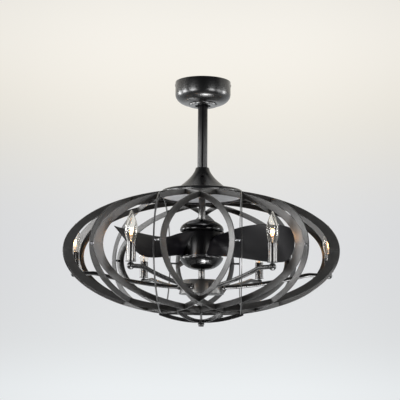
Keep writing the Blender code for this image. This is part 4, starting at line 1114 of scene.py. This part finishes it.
def makeLights():
    # shape, finish and the CAD pieces it replaces; cap and filament replace no CAD piece
    shapes = {"armTube": (makeArmShape(), "satinBlack", "light_arm"),
              "candleSleeve": (makeSleeveShape(), "gunmetal", "candle_sleeve"),
              "bulbGlass": (makeGlassShape(), "bulbGlass", "bulb"),
              "bulbCap": (makeCapShape(), "plainSteel", None),
              "bulbFilament": (makeFilamentShape(), "filamentGlow", None)}
    for k in range(lightArm["count"]):
        angle, number = around(k, lightArm["count"]), k + 1
        for name, (shape, paint, node) in shapes.items():
            piece = turnedCopy(shape, f"{name}_{number}", angle)
            piece.visible_shadow = name != "bulbGlass"
            nodes = [f"{node}_{number}"] if node else []
            dress(piece, "fixture", paint, *nodes, slot=None if node else f"bulb_{number}")
        place = (lightArm["circle"] * math.cos(angle), lightArm["circle"] * math.sin(angle),
                 level((candle["filamentLow"] + candle["filamentHigh"]) / 2))
        lamp = addLamp(f"bulbLamp_{number}", "POINT", place, candle["lampPower"])
        lamp.data.color = candle["lampColour"]
        lamp.data.shadow_soft_size = candle["lampRadius"]
    discard(*(entry[0] for entry in shapes.values()))


makeLightHub()
makeLights()
print("light kit made")


# room, lamps and camera
def linear(red, green, blue):
    # picture values of 0-255 as light
    return tuple(((c / 255 + 0.055) / 1.055) ** 2.4 for c in (red, green, blue))


room = {
    "floorColour": linear(226, 226, 224), "floorRoughness": 0.9, "wallColour": linear(228, 228, 226),
    "floorLevel": -3.4, "size": 16.0, "wallRadius": 4.0, "wallLow": -3.4, "wallHigh": 5.0,
    "mirrorSpread": 105, "wallSteps": 72, "sideRange": (0.4, 2.0), "sideShade": 0.90,
    "worldColour": (0.86, 0.87, 0.88), "worldStrength": 0.06,
    # height on the wall and the painted light it glows with there, from low to high
    "wallLightTones": [(-2.5, (240, 243, 245)), (-0.98, (238, 242, 244)), (-0.67, (224, 226, 227)),
                  (-0.16, (223, 224, 226)), (0.23, (224, 225, 226)), (0.70, (236, 232, 222)),
                  (1.17, (248, 244, 236)), (1.60, (242, 239, 232)), (5.0, (225, 223, 216))],
}


def seenDirectly(tree, depth):
    # 1 for what the camera sees straight or through glass; reflections see only the rear part of the wall
    path = addNode(tree, "LightPath").outputs
    limit = room["wallRadius"] * math.cos(math.radians(room["mirrorSpread"]))
    rear = calc(tree, "GREATER_THAN", depth, limit)
    straight = calc(tree, "MAXIMUM", path["Is Camera Ray"], path["Is Transmission Ray"])
    return calc(tree, "MAXIMUM", straight, product(tree, path["Is Glossy Ray"], rear))


def makeWall():
    # a pale round backdrop, seen from its inner side; it glows with painted light that changes with height,
    # with painted shade towards its sides, and its rear part shows in the fan's reflections
    r = room

    def place(share, upper):
        turn = math.radians(270 - 360 * share)
        height = r["wallHigh"] if upper > 0.5 else r["wallLow"]
        return (r["wallRadius"] * math.cos(turn), r["wallRadius"] * math.sin(turn), height)

    wall = gridPiece(r["wallSteps"], 1, place)
    wall.name = "roomWall"
    smooth(wall, degrees=60)
    material, tree, shader = newMaterial("roomWall")
    point = addNode(tree, "SeparateXYZ", {"Vector": addNode(tree, "TexCoord").outputs["Object"]}).outputs
    low, high = r["wallLightTones"][0][0], r["wallLightTones"][-1][0]
    ramp = addNode(tree, "ValToRGB", {"Fac": remap(tree, point["Z"], low, high, 0.0, 1.0)})
    ramp.color_ramp.interpolation = "B_SPLINE"
    tones = ramp.color_ramp.elements
    for i, (height, tone) in enumerate(r["wallLightTones"]):
        at = (height - low) / (high - low)
        element = tones[i] if i < 2 else tones.new(at)
        element.position = at
        element.color = (*linear(*tone), 1)
    # painted shade: the wall glows less towards its sides
    shade = remap(tree, calc(tree, "ABSOLUTE", point["X"]), *r["sideRange"], 1.0, r["sideShade"],
                  interpolation_type="SMOOTHSTEP")
    light = addNode(tree, "Emission", {"Color": ramp.outputs["Color"], "Strength": shade}).outputs["Emission"]
    front = calc(tree, "SUBTRACT", 1.0, addNode(tree, "NewGeometry").outputs["Backfacing"])
    mixShaders(tree, product(tree, front, seenDirectly(tree, point["Y"])),
               addNode(tree, "BsdfTransparent").outputs["BSDF"], light)
    tree.nodes.remove(shader)
    wall.data.materials.append(material)


def makeFloor():
    r = room
    floor = primitive(bpy.ops.mesh.primitive_plane_add, size=r["size"], location=(0, 0, r["floorLevel"]))
    floor.name = "roomFloor"
    material, tree, shader = newMaterial("roomFloor")
    colour = (*r["floorColour"], 1)
    fill(tree, shader, {"Base Color": colour, "Roughness": r["floorRoughness"]})
    mixShaders(tree, addNode(tree, "LightPath").outputs["Is Camera Ray"], shader.outputs["BSDF"],
               addNode(tree, "Emission", {"Color": colour}).outputs["Emission"])
    floor.data.materials.append(material)


def makeWorld():
    # the camera sees the wall's colour, the fan gets a faint even light
    r = room
    world = bpy.data.worlds.new("room")
    bpy.context.scene.world = world
    world.use_nodes = True
    tree = world.node_tree
    light = tree.nodes["Background"]
    fill(tree, light, {"Color": (*r["worldColour"], 1), "Strength": r["worldStrength"]})
    seen = addNode(tree, "Background", {"Color": (*r["wallColour"], 1), "Strength": 1.0})
    mixShaders(tree, addNode(tree, "LightPath").outputs["Is Camera Ray"], light.outputs["Background"],
               seen.outputs["Background"], "World Output")


studio = {
    "reach": 3.4, "middle": -0.45,
    # upright soft panels round the fan: turn from the front, level, power, width, height and use
    "round": {"farLeft": (-111, -0.25, 60, 0.8, 1.4, "both"), "left": (-80, -0.25, 100, 1.0, 1.4, "both"),
              "nearLeft": (-42, -0.2, 100, 1.3, 1.4, "mirror"),
              "nearLeftFill": (-42, -0.2, 30, 1.3, 1.4, "both"),
              "nearRight": (36, -0.25, 68, 1.1, 1.25, "both"), "right": (69, -0.25, 34, 1.0, 1.4, "mirror"),
              "farRight": (96, -0.25, 60, 0.8, 1.4, "mirror")},
    # place, power, width, height and use
    "others": {"lowPanel": ((0.47, -0.78, -2.45), 135, 1.1, 0.6, "mirror"),
               "lowRearLamp": ((-0.7, 1.3, -2.4), 14, 0.8, 0.8, "both"),
               "topLamp": ((0, 0.8, 2.6), 10, 2.0, 2.0, "both"),
               "rearFill": ((0.6, 3.3, 0.2), 60, 1.8, 1.8, "matte")},
}


def addPanel(name, place, power, wide, tall, use):
    # a soft rectangle that faces the fan
    lamp = addLamp(name, "AREA", place, power, use)
    lamp.data.shape = "RECTANGLE"
    lamp.data.size, lamp.data.size_y = wide, tall
    facing = Vector((0, 0, studio["middle"])) - Vector(place)
    lamp.rotation_euler = facing.to_track_quat("-Z", "Y").to_euler()


def makeStudio():
    for name, (degrees, height, *panel) in studio["round"].items():
        turn = math.radians(degrees)
        place = (studio["reach"] * math.sin(turn), -studio["reach"] * math.cos(turn), height)
        addPanel(f"{name}Lamp", place, *panel)
    for name, panel in studio["others"].items():
        addPanel(name, *panel)


view = {"place": (0, -2.8869, -0.7346), "pitch": 8.0066, "roll": 0.467, "pixels": 1068.39, "frame": 400,
        "centre": 202.1, "sensor": 36, "near": 0.01}


def makeCamera():
    data = bpy.data.cameras.new("photoCamera")
    data.sensor_width = view["sensor"]
    data.lens = view["pixels"] / view["frame"] * view["sensor"]
    data.shift_x = -(view["centre"] - view["frame"] / 2) / view["frame"]
    data.clip_start = view["near"]
    camera = bpy.data.objects.new("photoCamera", data)
    bpy.context.scene.collection.objects.link(camera)
    camera.location = view["place"]
    camera.rotation_mode = "XYZ"
    pitch = Matrix.Rotation(math.radians(90 + view["pitch"]), 3, "X")
    camera.rotation_euler = (pitch @ Matrix.Rotation(math.radians(view["roll"]), 3, "Z")).to_euler()
    bpy.context.scene.camera = camera


makeFloor()
makeWall()
makeWorld()
makeStudio()
makeCamera()
bpy.context.scene.view_settings.view_transform = "Standard"
print("room, lamps and camera set")

deselectAll()
